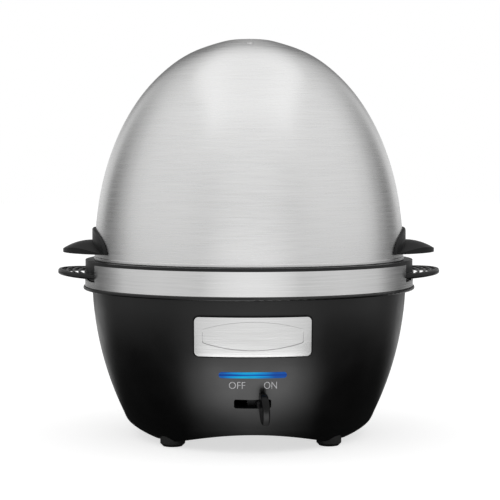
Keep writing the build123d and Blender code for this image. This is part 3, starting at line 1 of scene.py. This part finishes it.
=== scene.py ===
# %% [markdown]
# # Electric egg cooker
# A tall steel dome stands on a black heated base. This lesson dresses the construction
# model: it gives every piece its finish, prints the two words of the switch, and sets up a
# plain studio. The cooker is sheet metal and moulded plastic all over, so the shapes of the
# construction model are the real ones, and only the finishes, the print and the light are
# made here. Everything is in metres, +Z is up, and the front of the cooker faces -Y.

import bpy
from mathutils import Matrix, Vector


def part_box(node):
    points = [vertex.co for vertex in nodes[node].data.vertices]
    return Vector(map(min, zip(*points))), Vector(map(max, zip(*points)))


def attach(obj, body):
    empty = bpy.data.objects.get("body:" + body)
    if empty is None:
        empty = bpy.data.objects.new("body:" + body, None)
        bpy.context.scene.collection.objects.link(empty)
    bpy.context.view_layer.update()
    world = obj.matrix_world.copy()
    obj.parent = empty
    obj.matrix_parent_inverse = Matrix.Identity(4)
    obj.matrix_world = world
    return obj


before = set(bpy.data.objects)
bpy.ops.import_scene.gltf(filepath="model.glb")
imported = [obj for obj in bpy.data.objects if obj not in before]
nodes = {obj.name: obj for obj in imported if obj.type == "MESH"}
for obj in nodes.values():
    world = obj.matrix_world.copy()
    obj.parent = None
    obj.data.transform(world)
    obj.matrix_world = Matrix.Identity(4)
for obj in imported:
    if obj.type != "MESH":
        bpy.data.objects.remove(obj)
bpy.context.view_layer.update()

# %% [markdown]
# ## Camera
# The photograph was taken with a long lens from about half way up the dome, so the rims
# show as shallow curves. The camera could be placed by eye, but the curves of the rims and
# the outline say where it stood, so it is placed there and looks slightly down. Its focal
# length is known in pixels of the photograph and is turned into millimetres here.

# %% Place the camera
camera_place = Vector((-0.0217, -0.8897, 0.154))
camera_target = Vector((0.0006, 0.0, 0.1073))
focal_pixels = 1521.0
picture_pixels = 500.0
film_width = 36.0

camera_data = bpy.data.cameras.new("studio_camera")
camera = bpy.data.objects.new("studio_camera", camera_data)
bpy.context.scene.collection.objects.link(camera)
camera.location = camera_place
camera.rotation_euler = (camera_target - camera_place).to_track_quat("-Z", "Y").to_euler()
camera_data.sensor_width = film_width
camera_data.lens = focal_pixels * film_width / picture_pixels
camera_data.clip_end = 50.0
bpy.context.scene.camera = camera
print("lens in mm", round(camera_data.lens, 1))

# %% [markdown]
# ## Helpers for finishes
# A finish is a small net of nodes. It could be drawn by hand in the shader editor, but the
# cooker has nearly thirty finishes, and most of them differ in a few numbers only. So they
# are built with helpers. The first ones make a material with its shader, add a node to it,
# and join two sockets. They work on anything that has a net of nodes, the world too.

# %% Helpers that start a finish


def new_finish(name, color, roughness, metallic=0.0):
    """A material with a Principled shader, and that shader."""
    finish = bpy.data.materials.new(name)
    finish.use_nodes = True
    shader = finish.node_tree.nodes["Principled BSDF"]
    shader.inputs["Base Color"].default_value = (*color, 1.0)
    shader.inputs["Roughness"].default_value = roughness
    shader.inputs["Metallic"].default_value = metallic
    return finish, shader


def add_node(finish, kind, **settings):
    """A node of a finish, with its settings."""
    node = finish.node_tree.nodes.new(kind)
    for name, value in settings.items():
        setattr(node, name, value)
    return node


def join(finish, output, target):
    """A link between two sockets of a finish."""
    finish.node_tree.links.new(output, target)


def own_place(finish):
    """The piece's own coordinates."""
    return add_node(finish, "ShaderNodeTexCoord").outputs["Object"]


print("helpers that start a finish are ready")

# %% [markdown]
# A pattern on a piece is a number that changes from place to place. The next helpers make
# such numbers: arithmetic on sockets, the three parts of a place, a noise, and a range that
# spreads a number between the lowest and the highest value that a finish needs. The noise
# reads the piece's own coordinates, so that it keeps its scale on every piece and moves
# with it.

# %% Helpers that make numbers


def reckon(finish, operation, first, second=None):
    """The result of some arithmetic on sockets or numbers."""
    node = add_node(finish, "ShaderNodeMath", operation=operation)
    for socket, value in zip(node.inputs, (first, second)):
        if isinstance(value, (int, float)):
            socket.default_value = value
        elif value is not None:
            join(finish, value, socket)
    return node.outputs["Value"]


def parts_of(finish, place):
    """The X, Y and Z of a place or a direction."""
    split = add_node(finish, "ShaderNodeSeparateXYZ")
    join(finish, place, split.inputs["Vector"])
    return split.outputs["X"], split.outputs["Y"], split.outputs["Z"]


def noise(finish, place, scale, detail=3.0, roughness=0.55, stretch=(1, 1, 1)):
    """A noise of so many grains per metre, made finer along the axes by the stretch."""
    mapping = add_node(finish, "ShaderNodeMapping")
    mapping.inputs["Scale"].default_value = stretch
    join(finish, place, mapping.inputs["Vector"])
    grain = add_node(finish, "ShaderNodeTexNoise")
    grain.inputs["Scale"].default_value = scale
    grain.inputs["Detail"].default_value = detail
    grain.inputs["Roughness"].default_value = roughness
    join(finish, mapping.outputs["Vector"], grain.inputs["Vector"])
    return grain.outputs["Fac"]


def spread(finish, value, low, high, start=0.3, end=0.7):
    """Goes from low to high as a value goes from start to end."""
    ranger = add_node(finish, "ShaderNodeMapRange")
    ranger.inputs["From Min"].default_value = start
    ranger.inputs["From Max"].default_value = end
    ranger.inputs["To Min"].default_value = low
    ranger.inputs["To Max"].default_value = high
    join(finish, value, ranger.inputs["Value"])
    return ranger.outputs["Result"]


print("helpers that make numbers are ready")

# %% [markdown]
# The last helpers use those numbers. A ramp turns one into a colour or a gray, a mix goes
# from one colour to another, and a bump lets a noise stand out of the surface. The grain of
# these finishes is only hundredths of a millimetre deep, so a bump shows it as well as real
# relief would, and costs no faces.

# %% Helpers that use numbers
mix_color_inputs = slice(6, 8)
mix_color_output = 2


def tint(finish, value, stops):
    """Turns a number into a colour by a ramp of (place, colour) stops."""
    ramp = add_node(finish, "ShaderNodeValToRGB")
    bar = ramp.color_ramp
    while len(bar.elements) < len(stops):
        bar.elements.new(0.5)
    for element, (place, color) in zip(bar.elements, stops):
        element.position = place
        element.color = (*color, 1.0)
    join(finish, value, ramp.inputs["Fac"])
    return ramp.outputs["Color"]


def gray_by(finish, value, low, high, stops):
    """A gray that follows a value from low to high, by stops of (place, level)."""
    along = spread(finish, value, 0.0, 1.0, start=low, end=high)
    return tint(finish, along, [(place, (level,) * 3) for place, level in stops])


def mix_colors(finish, factor, first, second):
    """Goes from the first colour to the second as the factor goes from 0 to 1."""
    mix = add_node(finish, "ShaderNodeMix", data_type="RGBA")
    join(finish, factor, mix.inputs["Factor"])
    for socket, value in zip(mix.inputs[mix_color_inputs], (first, second)):
        if isinstance(value, tuple):
            socket.default_value = (*value, 1.0)
        else:
            join(finish, value, socket)
    return mix.outputs[mix_color_output]


def shades(color, change):
    """Two shades of a colour, one darker and one lighter by a share."""
    dark = tuple(v * (1 - change) for v in color)
    light = tuple(min(v * (1 + change), 1.0) for v in color)
    return dark, light


def raise_grain(finish, shader, value, height, strength):
    """Lets a noise stand out of the surface by a height in metres, at a strength to 1."""
    bump = add_node(finish, "ShaderNodeBump")
    bump.inputs["Strength"].default_value = strength
    bump.inputs["Distance"].default_value = height
    join(finish, value, bump.inputs["Height"])
    join(finish, bump.outputs["Normal"], shader.inputs["Normal"])


print("helpers that use numbers are ready")

# %% [markdown]
# ## Spun and brushed steel
# The dome, the band and the bowl are steel that was brushed while it turned, so the
# scratches are rings about the upright axis. Stripes by height alone would spread near the
# dome's top, where the wall lies flat. So the noise reads the distance from the axis and
# the height at its full scale, and X and Y slowed down: it changes fast across the rings at
# every height and slowly along them. The shader's tangent runs round the axis, and a
# quarter turn from it draws the shine out across the scratches, as real ones do.

# %% Make the finish of spun steel


def ring_scratches(finish, grains, along):
    """A noise of so many grains per metre across the rings, and of so many along them."""
    slowed = along / grains
    side, depth, height = parts_of(finish, own_place(finish))
    flat = add_node(finish, "ShaderNodeCombineXYZ")
    join(finish, side, flat.inputs["X"])
    join(finish, depth, flat.inputs["Y"])
    distance = add_node(finish, "ShaderNodeVectorMath", operation="LENGTH")
    join(finish, flat.outputs["Vector"], distance.inputs[0])
    ring_place = add_node(finish, "ShaderNodeCombineXYZ")
    join(finish, distance.outputs["Value"], ring_place.inputs["X"])
    join(finish, height, ring_place.inputs["Y"])
    join(finish, reckon(finish, "MULTIPLY", side, slowed), ring_place.inputs["Z"])
    scratches = add_node(finish, "ShaderNodeTexNoise", noise_dimensions="4D")
    scratches.inputs["Scale"].default_value = grains
    scratches.inputs["Detail"].default_value = 2.0
    scratches.inputs["Roughness"].default_value = 0.5
    join(finish, ring_place.outputs["Vector"], scratches.inputs["Vector"])
    join(finish, reckon(finish, "MULTIPLY", depth, slowed), scratches.inputs["W"])
    return scratches.outputs["Fac"]


def spun_steel(name, color, roughness, grains=2600.0, along=45.0, contrast=0.06):
    """Steel brushed in rings about the upright axis."""
    finish, shader = new_finish(name, color, roughness, metallic=1.0)
    scratches = ring_scratches(finish, grains, along)
    dark, light = shades(color, contrast)
    join(finish, tint(finish, scratches, [(0.3, dark), (0.7, light)]), shader.inputs["Base Color"])
    join(finish, spread(finish, scratches, roughness - 0.05, roughness + 0.06),
         shader.inputs["Roughness"])
    raise_grain(finish, shader, scratches, height=0.000002, strength=0.3)
    shader.inputs["Anisotropic"].default_value = 0.7
    shader.inputs["Anisotropic Rotation"].default_value = 0.25
    tangent = add_node(finish, "ShaderNodeTangent", direction_type="RADIAL", axis="Z")
    join(finish, tangent.outputs["Tangent"], shader.inputs["Tangent"])
    return finish


dome_steel = spun_steel("dome_steel", (0.82, 0.82, 0.818), 0.29)
band_steel = spun_steel("band_steel", (0.78, 0.78, 0.778), 0.2)
bowl_steel = spun_steel("bowl_steel", (0.66, 0.66, 0.65), 0.34, grains=1200.0)
print("spun steels:", dome_steel.name, band_steel.name, bowl_steel.name)

# %% [markdown]
# ## Moulded plastic
# The housing, the handles and the trays are moulded plastic, which is never one flat tone:
# its skin has a fine spark-eroded grain, and its gloss drifts a little over the piece. One
# flat black would look like paint. Each plastic here gets a fine bump for the grain, and a
# slow noise for the drift of gloss and tone. The blacks are very deep, so the shapes show
# by their gloss, and the shine says how much of it a piece has.

# %% Make the finishes of moulded plastic
drift_scale = 45.0
drift_contrast = 0.14


def moulded(name, color, roughness, grain=4200.0, depth=0.00001, drift=0.05, shine=0.5):
    """Moulded plastic with a fine grain of so many grains per metre."""
    finish, shader = new_finish(name, color, roughness)
    shader.inputs["Specular IOR Level"].default_value = shine
    place = own_place(finish)
    fine = noise(finish, place, grain, detail=2.0)
    slow = noise(finish, place, drift_scale)
    dark, light = shades(color, drift_contrast)
    join(finish, tint(finish, slow, [(0.35, dark), (0.65, light)]), shader.inputs["Base Color"])
    join(finish, spread(finish, slow, roughness - drift, roughness + drift),
         shader.inputs["Roughness"])
    raise_grain(finish, shader, fine, height=depth, strength=0.5)
    return finish


housing_black = moulded("housing_black", (0.003, 0.003, 0.0031), 0.36, shine=0.45)
handle_black = moulded("handle_black", (0.006, 0.006, 0.0063), 0.4, shine=0.2)
tray_black = moulded("tray_black", (0.010, 0.010, 0.0105), 0.32, shine=0.3)
bezel_black = moulded("bezel_black", (0.003, 0.003, 0.003), 0.3, depth=0.000003, shine=0.1)
cover_black = moulded("cover_black", (0.024, 0.024, 0.025), 0.55, depth=0.00003)
switch_gray = moulded("switch_gray", (0.010, 0.010, 0.0105), 0.5, shine=0.2)
lever_black = moulded("lever_black", (0.004, 0.004, 0.0042), 0.28, depth=0.000004, shine=0.2)
block_cream = moulded("block_cream", (0.62, 0.60, 0.54), 0.5)
ceramic_white = moulded("ceramic_white", (0.66, 0.64, 0.58), 0.62, grain=2600.0, depth=0.00003)
lamp_clear = moulded("lamp_clear", (0.78, 0.82, 0.86), 0.15, depth=0.000003)
print("plastics:", housing_black.name, handle_black.name, tray_black.name, "and seven more")

# %% [markdown]
# ## Rubber, plated steel and cast metal
# The feet, the seal and the leads are soft and dull. They could have a finish of their
# own, but the plastic's finish does it with a coarser grain and a higher roughness. Screws,
# clips and the terminals are plated or bare metal, which shows as cloudy patches. A noise
# with much detail makes those clouds, and they steer the tone, the gloss and a slight bump
# together.

# %% Make the finishes of rubber and plated metal
cloud_scale = 420.0
cloud_contrast = 0.12


def soft_rubber(name, color, roughness=0.75):
    """Dull rubber or cable skin."""
    return moulded(name, color, roughness, grain=2600.0, depth=0.00003, drift=0.08)


def plated(name, color, roughness):
    """Cloudy plated or cast metal."""
    finish, shader = new_finish(name, color, roughness, metallic=1.0)
    clouds = noise(finish, own_place(finish), cloud_scale, detail=4.0, roughness=0.65)
    dark, light = shades(color, cloud_contrast)
    join(finish, tint(finish, clouds, [(0.35, dark), (0.65, light)]), shader.inputs["Base Color"])
    join(finish, spread(finish, clouds, roughness - 0.08, roughness + 0.1),
         shader.inputs["Roughness"])
    raise_grain(finish, shader, clouds, height=0.00002, strength=0.4)
    return finish


foot_rubber = soft_rubber("foot_rubber", (0.014, 0.014, 0.014))
seal_rubber = soft_rubber("seal_rubber", (0.36, 0.07, 0.045), 0.55)
lead_red = soft_rubber("lead_red", (0.36, 0.02, 0.02), 0.5)
lead_white = soft_rubber("lead_white", (0.62, 0.61, 0.57), 0.5)
lead_black = soft_rubber("lead_black", (0.02, 0.02, 0.02), 0.5)
zinc_steel = plated("zinc_steel", (0.62, 0.62, 0.6), 0.36)
screw_steel = plated("screw_steel", (0.68, 0.68, 0.67), 0.3)
cast_aluminium = plated("cast_aluminium", (0.55, 0.55, 0.54), 0.48)
plate_aluminium = plated("plate_aluminium", (0.62, 0.62, 0.61), 0.38)
element_steel = plated("element_steel", (0.3, 0.28, 0.27), 0.5)
brass = plated("brass", (0.75, 0.56, 0.25), 0.28)
print("rubbers and plated metals ready")

# %% [markdown]
# ## Circuit board
# The board behind the lens is green lacquer over copper tracks. The tracks could be
# modelled, but they lie under the lacquer and only change its green a little. A square cell
# pattern gives their net, and a narrow ramp keeps them faint.

# %% Make the finish of the circuit board
board_green, board_shader = new_finish("board_green", (0.02, 0.16, 0.06), 0.3)
tracks = add_node(board_green, "ShaderNodeTexVoronoi",
                  distance="CHEBYCHEV", feature="DISTANCE_TO_EDGE")
tracks.inputs["Scale"].default_value = 230.0
join(board_green, own_place(board_green), tracks.inputs["Vector"])
track_tone = tint(board_green, tracks.outputs["Distance"],
                  [(0.06, (0.012, 0.10, 0.04)), (0.1, (0.03, 0.2, 0.08))])
join(board_green, track_tone, board_shader.inputs["Base Color"])
print("board finish ready")

# %% [markdown]
# ## Brushed nameplate
# The plate in the bezel is brushed from side to side, and a plain raised bead stands on
# it. Brushed lines could be cut as grooves, but they are finer than any mesh should be. A
# noise that is much finer up and down than from side to side gives them. The bead is under
# a millimetre high, and on a real plate its slopes mirror darker things than the flat does.
# Cards for that alone would show elsewhere too, so that darker reflection is painted on the
# slopes as a darker colour, and the surface's own slant says where they are.

# %% Make the finish of the nameplate
plate_color = (0.74, 0.74, 0.738)
# A painted reflection: the darker colour laid on the bead's slopes
slope_painted_reflection = (0.3, 0.3, 0.3)
plate_lean = 0.17

badge_steel, badge_shader = new_finish("badge_steel", plate_color, 0.25, metallic=1.0)
badge_lines = noise(badge_steel, own_place(badge_steel), 30.0, roughness=0.6, stretch=(1, 1, 90))
badge_dark, badge_light = shades(plate_color, 0.07)
lines_tone = tint(badge_steel, badge_lines, [(0.3, badge_dark), (0.7, badge_light)])
# The flat of the plate leans down by plate_lean, and what leans otherwise is a slope
slant = parts_of(badge_steel, add_node(badge_steel, "ShaderNodeNewGeometry").outputs["Normal"])[2]
off_flat = reckon(badge_steel, "ABSOLUTE", reckon(badge_steel, "ADD", slant, plate_lean))
painted_reflection_mask = spread(badge_steel, off_flat, 0.0, 1.0, start=0.1, end=0.3)
# Painted reflection: the bead's slopes get a darker colour in place of the darker things they
# would mirror
join(badge_steel, mix_colors(badge_steel, painted_reflection_mask, lines_tone, slope_painted_reflection),
     badge_shader.inputs["Base Color"])
join(badge_steel, spread(badge_steel, badge_lines, 0.22, 0.28), badge_shader.inputs["Roughness"])
raise_grain(badge_steel, badge_shader, badge_lines, height=0.000002, strength=0.3)
print("nameplate finish ready")

# %% [markdown]
# ## Lit lens
# The light bar glows from behind. It is brightest near its middle, has cyan streaks along
# it, and a darker line half way up where the moulding is thickest. Lamps behind a clear
# lens would need many samples to show that. So the lens glows itself: its height picks the
# line, the distance from the lamp dims the ends, a noise drawn out along X makes the
# streaks, and all three steer the colour of the glow.

# %% Make the finish of the lens
lens_low, lens_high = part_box("indicator_lens")
lens_middle = (lens_low[2] + lens_high[2]) / 2
lamp_aside = 0.002

lens_blue, lens_shader = new_finish("lens_blue", (0.002, 0.02, 0.09), 0.16)
lens_shader.inputs["Specular IOR Level"].default_value = 0.05
lens_place = own_place(lens_blue)
lens_side, _, lens_height = parts_of(lens_blue, lens_place)
off_middle = reckon(lens_blue, "ABSOLUTE", reckon(lens_blue, "SUBTRACT", lens_height, lens_middle))
off_line = spread(lens_blue, off_middle, 0.25, 1.0, start=0.0001, end=0.0006)
off_lamp = reckon(lens_blue, "ABSOLUTE", reckon(lens_blue, "ADD", lens_side, lamp_aside))
centre_glow = spread(lens_blue, off_lamp, 1.0, 0.35, start=0.003, end=0.014)
streak_noise = noise(lens_blue, lens_place, 55.0, stretch=(1, 1, 24))
streaks = spread(lens_blue, streak_noise, 0.55, 1.0, start=0.35, end=0.65)
glow = reckon(lens_blue, "MULTIPLY", reckon(lens_blue, "MULTIPLY", off_line, streaks), centre_glow)
glow_color = tint(lens_blue, glow, [
    (0.0, (0.0, 0.015, 0.16)), (0.25, (0.003, 0.055, 0.28)),
    (0.55, (0.0, 0.24, 0.56)), (0.95, (0.005, 0.45, 0.64))])
join(lens_blue, glow_color, lens_shader.inputs["Emission Color"])
lens_shader.inputs["Emission Strength"].default_value = 1.0

# %% [markdown]
# ## Give every construction piece its finish
# Each piece could be dressed where its finish is made, but one list shows at a glance that
# none is left out. A piece keeps its mesh and its place, and only its material slots change.

# %% Dress the construction pieces
wardrobe = {
    housing_black: ["housing"],
    handle_black: ["lid_handle_left", "lid_handle_right", "buzzer"],
    bezel_black: ["nameplate_bezel"],
    tray_black: ["lower_egg_tray", "upper_egg_tray"],
    cover_black: ["bottom_cover", "cord_gland", "gland_nut"],
    switch_gray: ["lever_arm", "switch_bracket", "switch_body", "switch_slider"],
    lever_black: ["lever_paddle"],
    block_cream: ["terminal_block"],
    ceramic_white: ["thermostat"],
    foot_rubber: ["foot_front_left", "foot_front_right", "foot_rear_left", "foot_rear_right"],
    seal_rubber: ["plate_seal"],
    lead_red: ["lead_supply_switch", "lead_switch_thermostat"],
    lead_white: ["lead_thermostat_fuse", "lead_fuse_element"],
    lead_black: ["lead_element_supply", "lead_indicator"],
    zinc_steel: ["plate_clamp_ring", "thermostat_bracket", "fuse_clip"],
    screw_steel: ["bowl_nuts", "clamp_screws", "thermostat_screws", "fuse_clip_screws",
                  "board_screws", "lever_pivot_pin", "bracket_screws", "cover_screws",
                  "foot_screws", "block_screws", "lid_handle_screws"],
    cast_aluminium: ["heater_casting", "thermal_fuse"],
    plate_aluminium: ["heating_plate"],
    element_steel: ["heating_element"],
    brass: ["switch_terminals", "terminal_screws"],
    lamp_clear: ["indicator_leds"],
    board_green: ["indicator_board"],
    badge_steel: ["nameplate"],
    lens_blue: ["indicator_lens"],
    dome_steel: ["lid_dome"],
    band_steel: ["rim_band"],
    bowl_steel: ["inner_bowl"],
}
dressed = set()
for finish, names in wardrobe.items():
    for name in names:
        piece = nodes[name]
        piece.data.materials.clear()
        piece.data.materials.append(finish)
        dressed.add(name)
print("dressed", len(dressed), "left", sorted(set(nodes) - dressed))

# %% [markdown]
# ## Legend of the switch
# The two words under the lens are pad printed on the housing in light gray. A picture of
# them on the housing would blur close up, and flat text would cut into the curved wall. So
# each word is a text turned into a mesh and laid on the wall: from in front, every corner
# of its letters looks for the wall behind it, and stands off it by the thickness of the ink.

# %% Print the legend
housing = nodes["housing"]
ink_gray = moulded("ink_gray", (0.74, 0.74, 0.76), 0.5, depth=0.000003)
ink_lift = 0.00005
legend_height = 0.0393
legend_tall = 0.0039
thinner_strokes = -0.012
in_front_of_wall = -0.2
towards_wall = Vector((0, 1, 0))


def print_word(word, left, right):
    """A word printed on the housing between two places along X."""
    bpy.ops.object.select_all(action="DESELECT")
    bpy.ops.object.text_add(location=(0, 0, 0))
    text = bpy.context.object
    text.data.body = word
    text.data.size = 1.0
    text.data.resolution_u = 4
    text.data.offset = thinner_strokes
    bpy.ops.object.convert(target="MESH")
    word_mesh = bpy.context.object
    word_mesh.name = f"legend_{word.lower()}"
    points = [vertex.co.copy() for vertex in word_mesh.data.vertices]
    low_x, high_x = min(p.x for p in points), max(p.x for p in points)
    low_y, high_y = min(p.y for p in points), max(p.y for p in points)
    for vertex, point in zip(word_mesh.data.vertices, points):
        x = left + (point.x - low_x) / (high_x - low_x) * (right - left)
        z = legend_height + ((point.y - low_y) / (high_y - low_y) - 0.5) * legend_tall
        look_from = Vector((x, in_front_of_wall, z))
        _, place, normal, _ = housing.ray_cast(look_from, towards_wall)
        vertex.co = place + normal * ink_lift
    word_mesh.data.materials.append(ink_gray)
    word_mesh.data.update()
    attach(word_mesh, "base")
    return word_mesh


off_word = print_word("OFF", -0.0127, -0.0041)
on_word = print_word("ON", 0.0060, 0.0129)
print("legend corners", len(off_word.data.vertices), len(on_word.data.vertices))

# %% [markdown]
# ## Studio floor
# The cooker stands on a pale table in front of a white wall. A real sweep of paper would
# need its own light to look white, and that light would flood the cooker. So the floor is a
# wide plane of middling gray, and only to the camera it glows a little on top, which makes
# it white and keeps the cooker's shadow.

# %% Lay the floor
bpy.ops.object.select_all(action="DESELECT")
bpy.ops.mesh.primitive_plane_add(size=12.0, location=(0, 0, 0))
floor = bpy.context.object
floor.name = "studio_floor"
floor_white, floor_shader = new_finish("floor_white", (0.56, 0.56, 0.56), 0.9)
floor.data.materials.append(floor_white)
print("floor size in m", round(floor.dimensions.x, 1))

# %% [markdown]
# Steel and glossy black show what stands round them, and in a photographer's studio that is
# cards and lit paper laid out for the piece. They could be modelled one by one, but the
# camera and the daylight would meet them too. Here the floor only looks different in
# reflections. It takes its level from two numbers at each spot: how far the spot is from the
# cooker's axis, and how far round it lies, from right behind the cooker to right in front.

# %% Find where a spot of the floor lies
floor_side, floor_depth, _ = parts_of(floor_white, own_place(floor_white))
aside = reckon(floor_white, "ABSOLUTE", floor_side)
away = reckon(floor_white, "SQRT", reckon(
    floor_white, "ADD", reckon(floor_white, "MULTIPLY", aside, aside),
    reckon(floor_white, "MULTIPLY", floor_depth, floor_depth)))
# From 1 right behind the cooker to -1 right in front of it
rearward = reckon(floor_white, "DIVIDE", floor_depth, away)
print("floor directions ready")

# %% [markdown]
# Close to the cooker lie black cards, which keep the black housing black. Between them a
# lit strip runs forward and widens with distance. It is brightest just in front of the
# cooker, and lays the soft glow on the housing's front.

# %% Lay the cards and the lit strip
card_level = 0.02
strip_reach = 0.5
strip_widening = 0.83
# The levels of the strip, from the cooker's axis (0) to its reach (1)
strip_levels = [
    (0.0, 0.02), (0.14, 0.15), (0.18, 1.0), (0.22, 3.2), (0.31, 3.6),
    (0.345, 0.85), (0.5, 0.85), (0.7, 1.0), (1.0, 0.85)]

in_front = spread(floor_white, rearward, 0.0, 1.0, start=-0.2, end=-0.6)
off_strip = reckon(floor_white, "SUBTRACT", aside,
                   reckon(floor_white, "MULTIPLY", away, strip_widening))
on_strip = spread(floor_white, off_strip, 1.0, 0.0, start=-0.07, end=-0.02)
strip = reckon(floor_white, "MULTIPLY", on_strip, in_front)
strip_level = gray_by(floor_white, away, 0.0, strip_reach, strip_levels)
near_level = reckon(floor_white, "ADD", reckon(floor_white, "MULTIPLY", strip, strip_level),
                    card_level)
print("strip stops", len(strip_levels), "brightest", max(level for _, level in strip_levels))

# %% [markdown]
# Further off the table is darker at the sides and lighter in front, which gives the band
# its dark ends. Right behind the cooker a lit patch draws the light lines down both sides
# of the housing, where it is seen at a glance. The near levels give way to the far ones
# with distance, and behind the cooker.

# %% Lay the far table
# The levels of the far table, from right behind the cooker (0) to right in front of it (1)
table_levels = [
    (0.0, 0.6), (0.05, 0.25), (0.1, 0.15), (0.24, 0.18), (0.33, 0.27), (0.4, 0.4),
    (0.47, 0.62), (0.73, 0.75), (0.92, 0.66), (1.0, 1.05)]

table_level = gray_by(floor_white, rearward, 1.0, -1.0, table_levels)
behind_patch = reckon(
    floor_white, "MULTIPLY", spread(floor_white, away, 1.0, 0.0, start=0.65, end=1.0),
    spread(floor_white, rearward, 0.0, 1.0, start=0.45, end=0.75))
far_level = reckon(floor_white, "MAXIMUM", table_level, behind_patch)
nearness = reckon(
    floor_white, "MULTIPLY", spread(floor_white, away, 1.0, 0.0, start=0.23, end=0.5),
    spread(floor_white, rearward, 1.0, 0.0, start=0.3, end=0.8))
farness = reckon(floor_white, "SUBTRACT", 1.0, nearness)
shiny_level = reckon(
    floor_white, "ADD", reckon(floor_white, "MULTIPLY", near_level, nearness),
    reckon(floor_white, "MULTIPLY", far_level, farness))
print("table stops", len(table_levels))

# %% [markdown]
# The light path tells what kind of ray meets the floor. The camera sees the gray floor
# with its extra glow, reflections see the levels above, and other light sees plain gray.

# %% Show each kind of ray its own floor
camera_lift = 0.66


def gray_glow(finish, strength):
    """A plain glow of a gray level."""
    glowing = add_node(finish, "ShaderNodeEmission")
    join(finish, strength, glowing.inputs["Strength"])
    return glowing.outputs["Emission"]


paths = add_node(floor_white, "ShaderNodeLightPath")
seen = reckon(floor_white, "MAXIMUM", paths.outputs["Is Camera Ray"],
              paths.outputs["Is Transmission Ray"])
lift = gray_glow(floor_white, reckon(floor_white, "MULTIPLY", seen, camera_lift))
plain_floor = add_node(floor_white, "ShaderNodeAddShader")
join(floor_white, floor_shader.outputs["BSDF"], plain_floor.inputs[0])
join(floor_white, lift, plain_floor.inputs[1])
either_floor = add_node(floor_white, "ShaderNodeMixShader")
join(floor_white, paths.outputs["Is Glossy Ray"], either_floor.inputs["Fac"])
join(floor_white, plain_floor.outputs["Shader"], either_floor.inputs[1])
join(floor_white, gray_glow(floor_white, shiny_level), either_floor.inputs[2])
join(floor_white, either_floor.outputs["Shader"],
     floor_white.node_tree.nodes["Material Output"].inputs["Surface"])
print("floor nodes", len(floor_white.node_tree.nodes))

# %% [markdown]
# ## Studio walls
# The world is the studio's walls. Plain white all round would leave the dome flat, because
# polished metal gets its shape from dark things beside it. So the walls are pale, dimmer
# towards the floor and straight overhead, and a screen stands at each side, darkest a
# little behind the cooker. The screens draw the dark bands down the dome's sides, and fade
# out higher up, where the dome's top faces.

# %% Light the walls and the screens
world = bpy.data.worlds.new("studio_walls")
world.use_nodes = True
bpy.context.scene.world = world
direction = add_node(world, "ShaderNodeTexCoord").outputs["Generated"]
way_x, way_y, way_z = parts_of(world, direction)
way_aside = reckon(world, "ABSOLUTE", way_x)

# The levels of the walls by height, from a little below the horizon (0) to overhead (1)
height_levels = [(0.0, 0.70), (0.35, 0.79), (0.58, 0.84), (0.75, 0.9), (0.85, 0.84), (1.0, 0.62)]
# The levels of the screens, from right behind the cooker (0) to right in front of it (1)
screen_levels = [
    (0.0, 0.9), (0.09, 0.66), (0.14, 0.26), (0.2, 0.19), (0.3, 0.42), (0.38, 0.66),
    (0.5, 0.78), (0.8, 0.8), (0.92, 0.7), (1.0, 0.8)]

pale_walls = gray_by(world, way_z, -0.2, 1.0, height_levels)
screens = gray_by(world, way_y, 1.0, -1.0, screen_levels)
high_up = gray_by(world, way_z, 0.1, 0.6, [(0.0, 0.0), (1.0, 0.6)])
beside = gray_by(world, way_aside, 0.2, 0.5, [(0.0, 0.0), (1.0, 1.0)])
faded_screens = mix_colors(world, high_up, screens, pale_walls)
walls_round = mix_colors(world, beside, pale_walls, faded_screens)
print("wall stops", len(height_levels), "screen stops", len(screen_levels))

# %% [markdown]
# A last dark panel hangs right behind the cooker, above the horizon. It shows only at a
# glance along a surface. There it draws the dark line round the dome's top, and keeps the
# tops of the handles black. The camera itself sees a white wall.

# %% Hang the panel behind, and show the camera a white wall
# The levels of the panel by height, from the horizon (0) to overhead (1)
panel_levels = [(0.08, 0.8), (0.2, 0.15), (0.6, 0.15), (0.8, 0.8)]
white_wall = (1.0, 1.0, 1.0)

behind = gray_by(world, way_y, 0.4, 0.8, [(0.0, 0.0), (1.0, 1.0)])
not_aside = gray_by(world, way_aside, 0.25, 0.5, [(0.0, 1.0), (1.0, 0.0)])
on_panel = reckon(world, "MULTIPLY", behind, not_aside)
panel_level = gray_by(world, way_z, 0.0, 1.0, panel_levels)
studio = mix_colors(world, on_panel, walls_round, panel_level)
sight = add_node(world, "ShaderNodeLightPath").outputs["Is Camera Ray"]
wall_shader = world.node_tree.nodes["Background"]
join(world, mix_colors(world, sight, studio, white_wall), wall_shader.inputs["Color"])
wall_shader.inputs["Strength"].default_value = 1.0
print("wall nodes", len(world.node_tree.nodes))

# %% [markdown]
# ## Soft box
# The walls alone light the cooker almost evenly. One broad, weak soft box overhead grounds
# it: it deepens the shadow under the base and keeps it short, as in the photograph.

# %% Hang the soft box
box_place = Vector((0.0, -0.1, 2.2))
box_target = Vector((0.0, 0.0, 0.1))
box_side = 2.4
box_watts = 6.0

top_data = bpy.data.lights.new("top_box", "AREA")
top_data.shape = "RECTANGLE"
top_data.size = box_side
top_data.size_y = box_side
top_data.energy = box_watts
top_box = bpy.data.objects.new("top_box", top_data)
bpy.context.scene.collection.objects.link(top_box)
top_box.location = box_place
top_box.rotation_euler = (box_target - box_place).to_track_quat("-Z", "Y").to_euler()
print("lamp power in W", top_data.energy)

# %% [markdown]
# ## Colours
# The colours are shown without a film look.

# %% Finish
bpy.context.scene.view_settings.view_transform = "Standard"
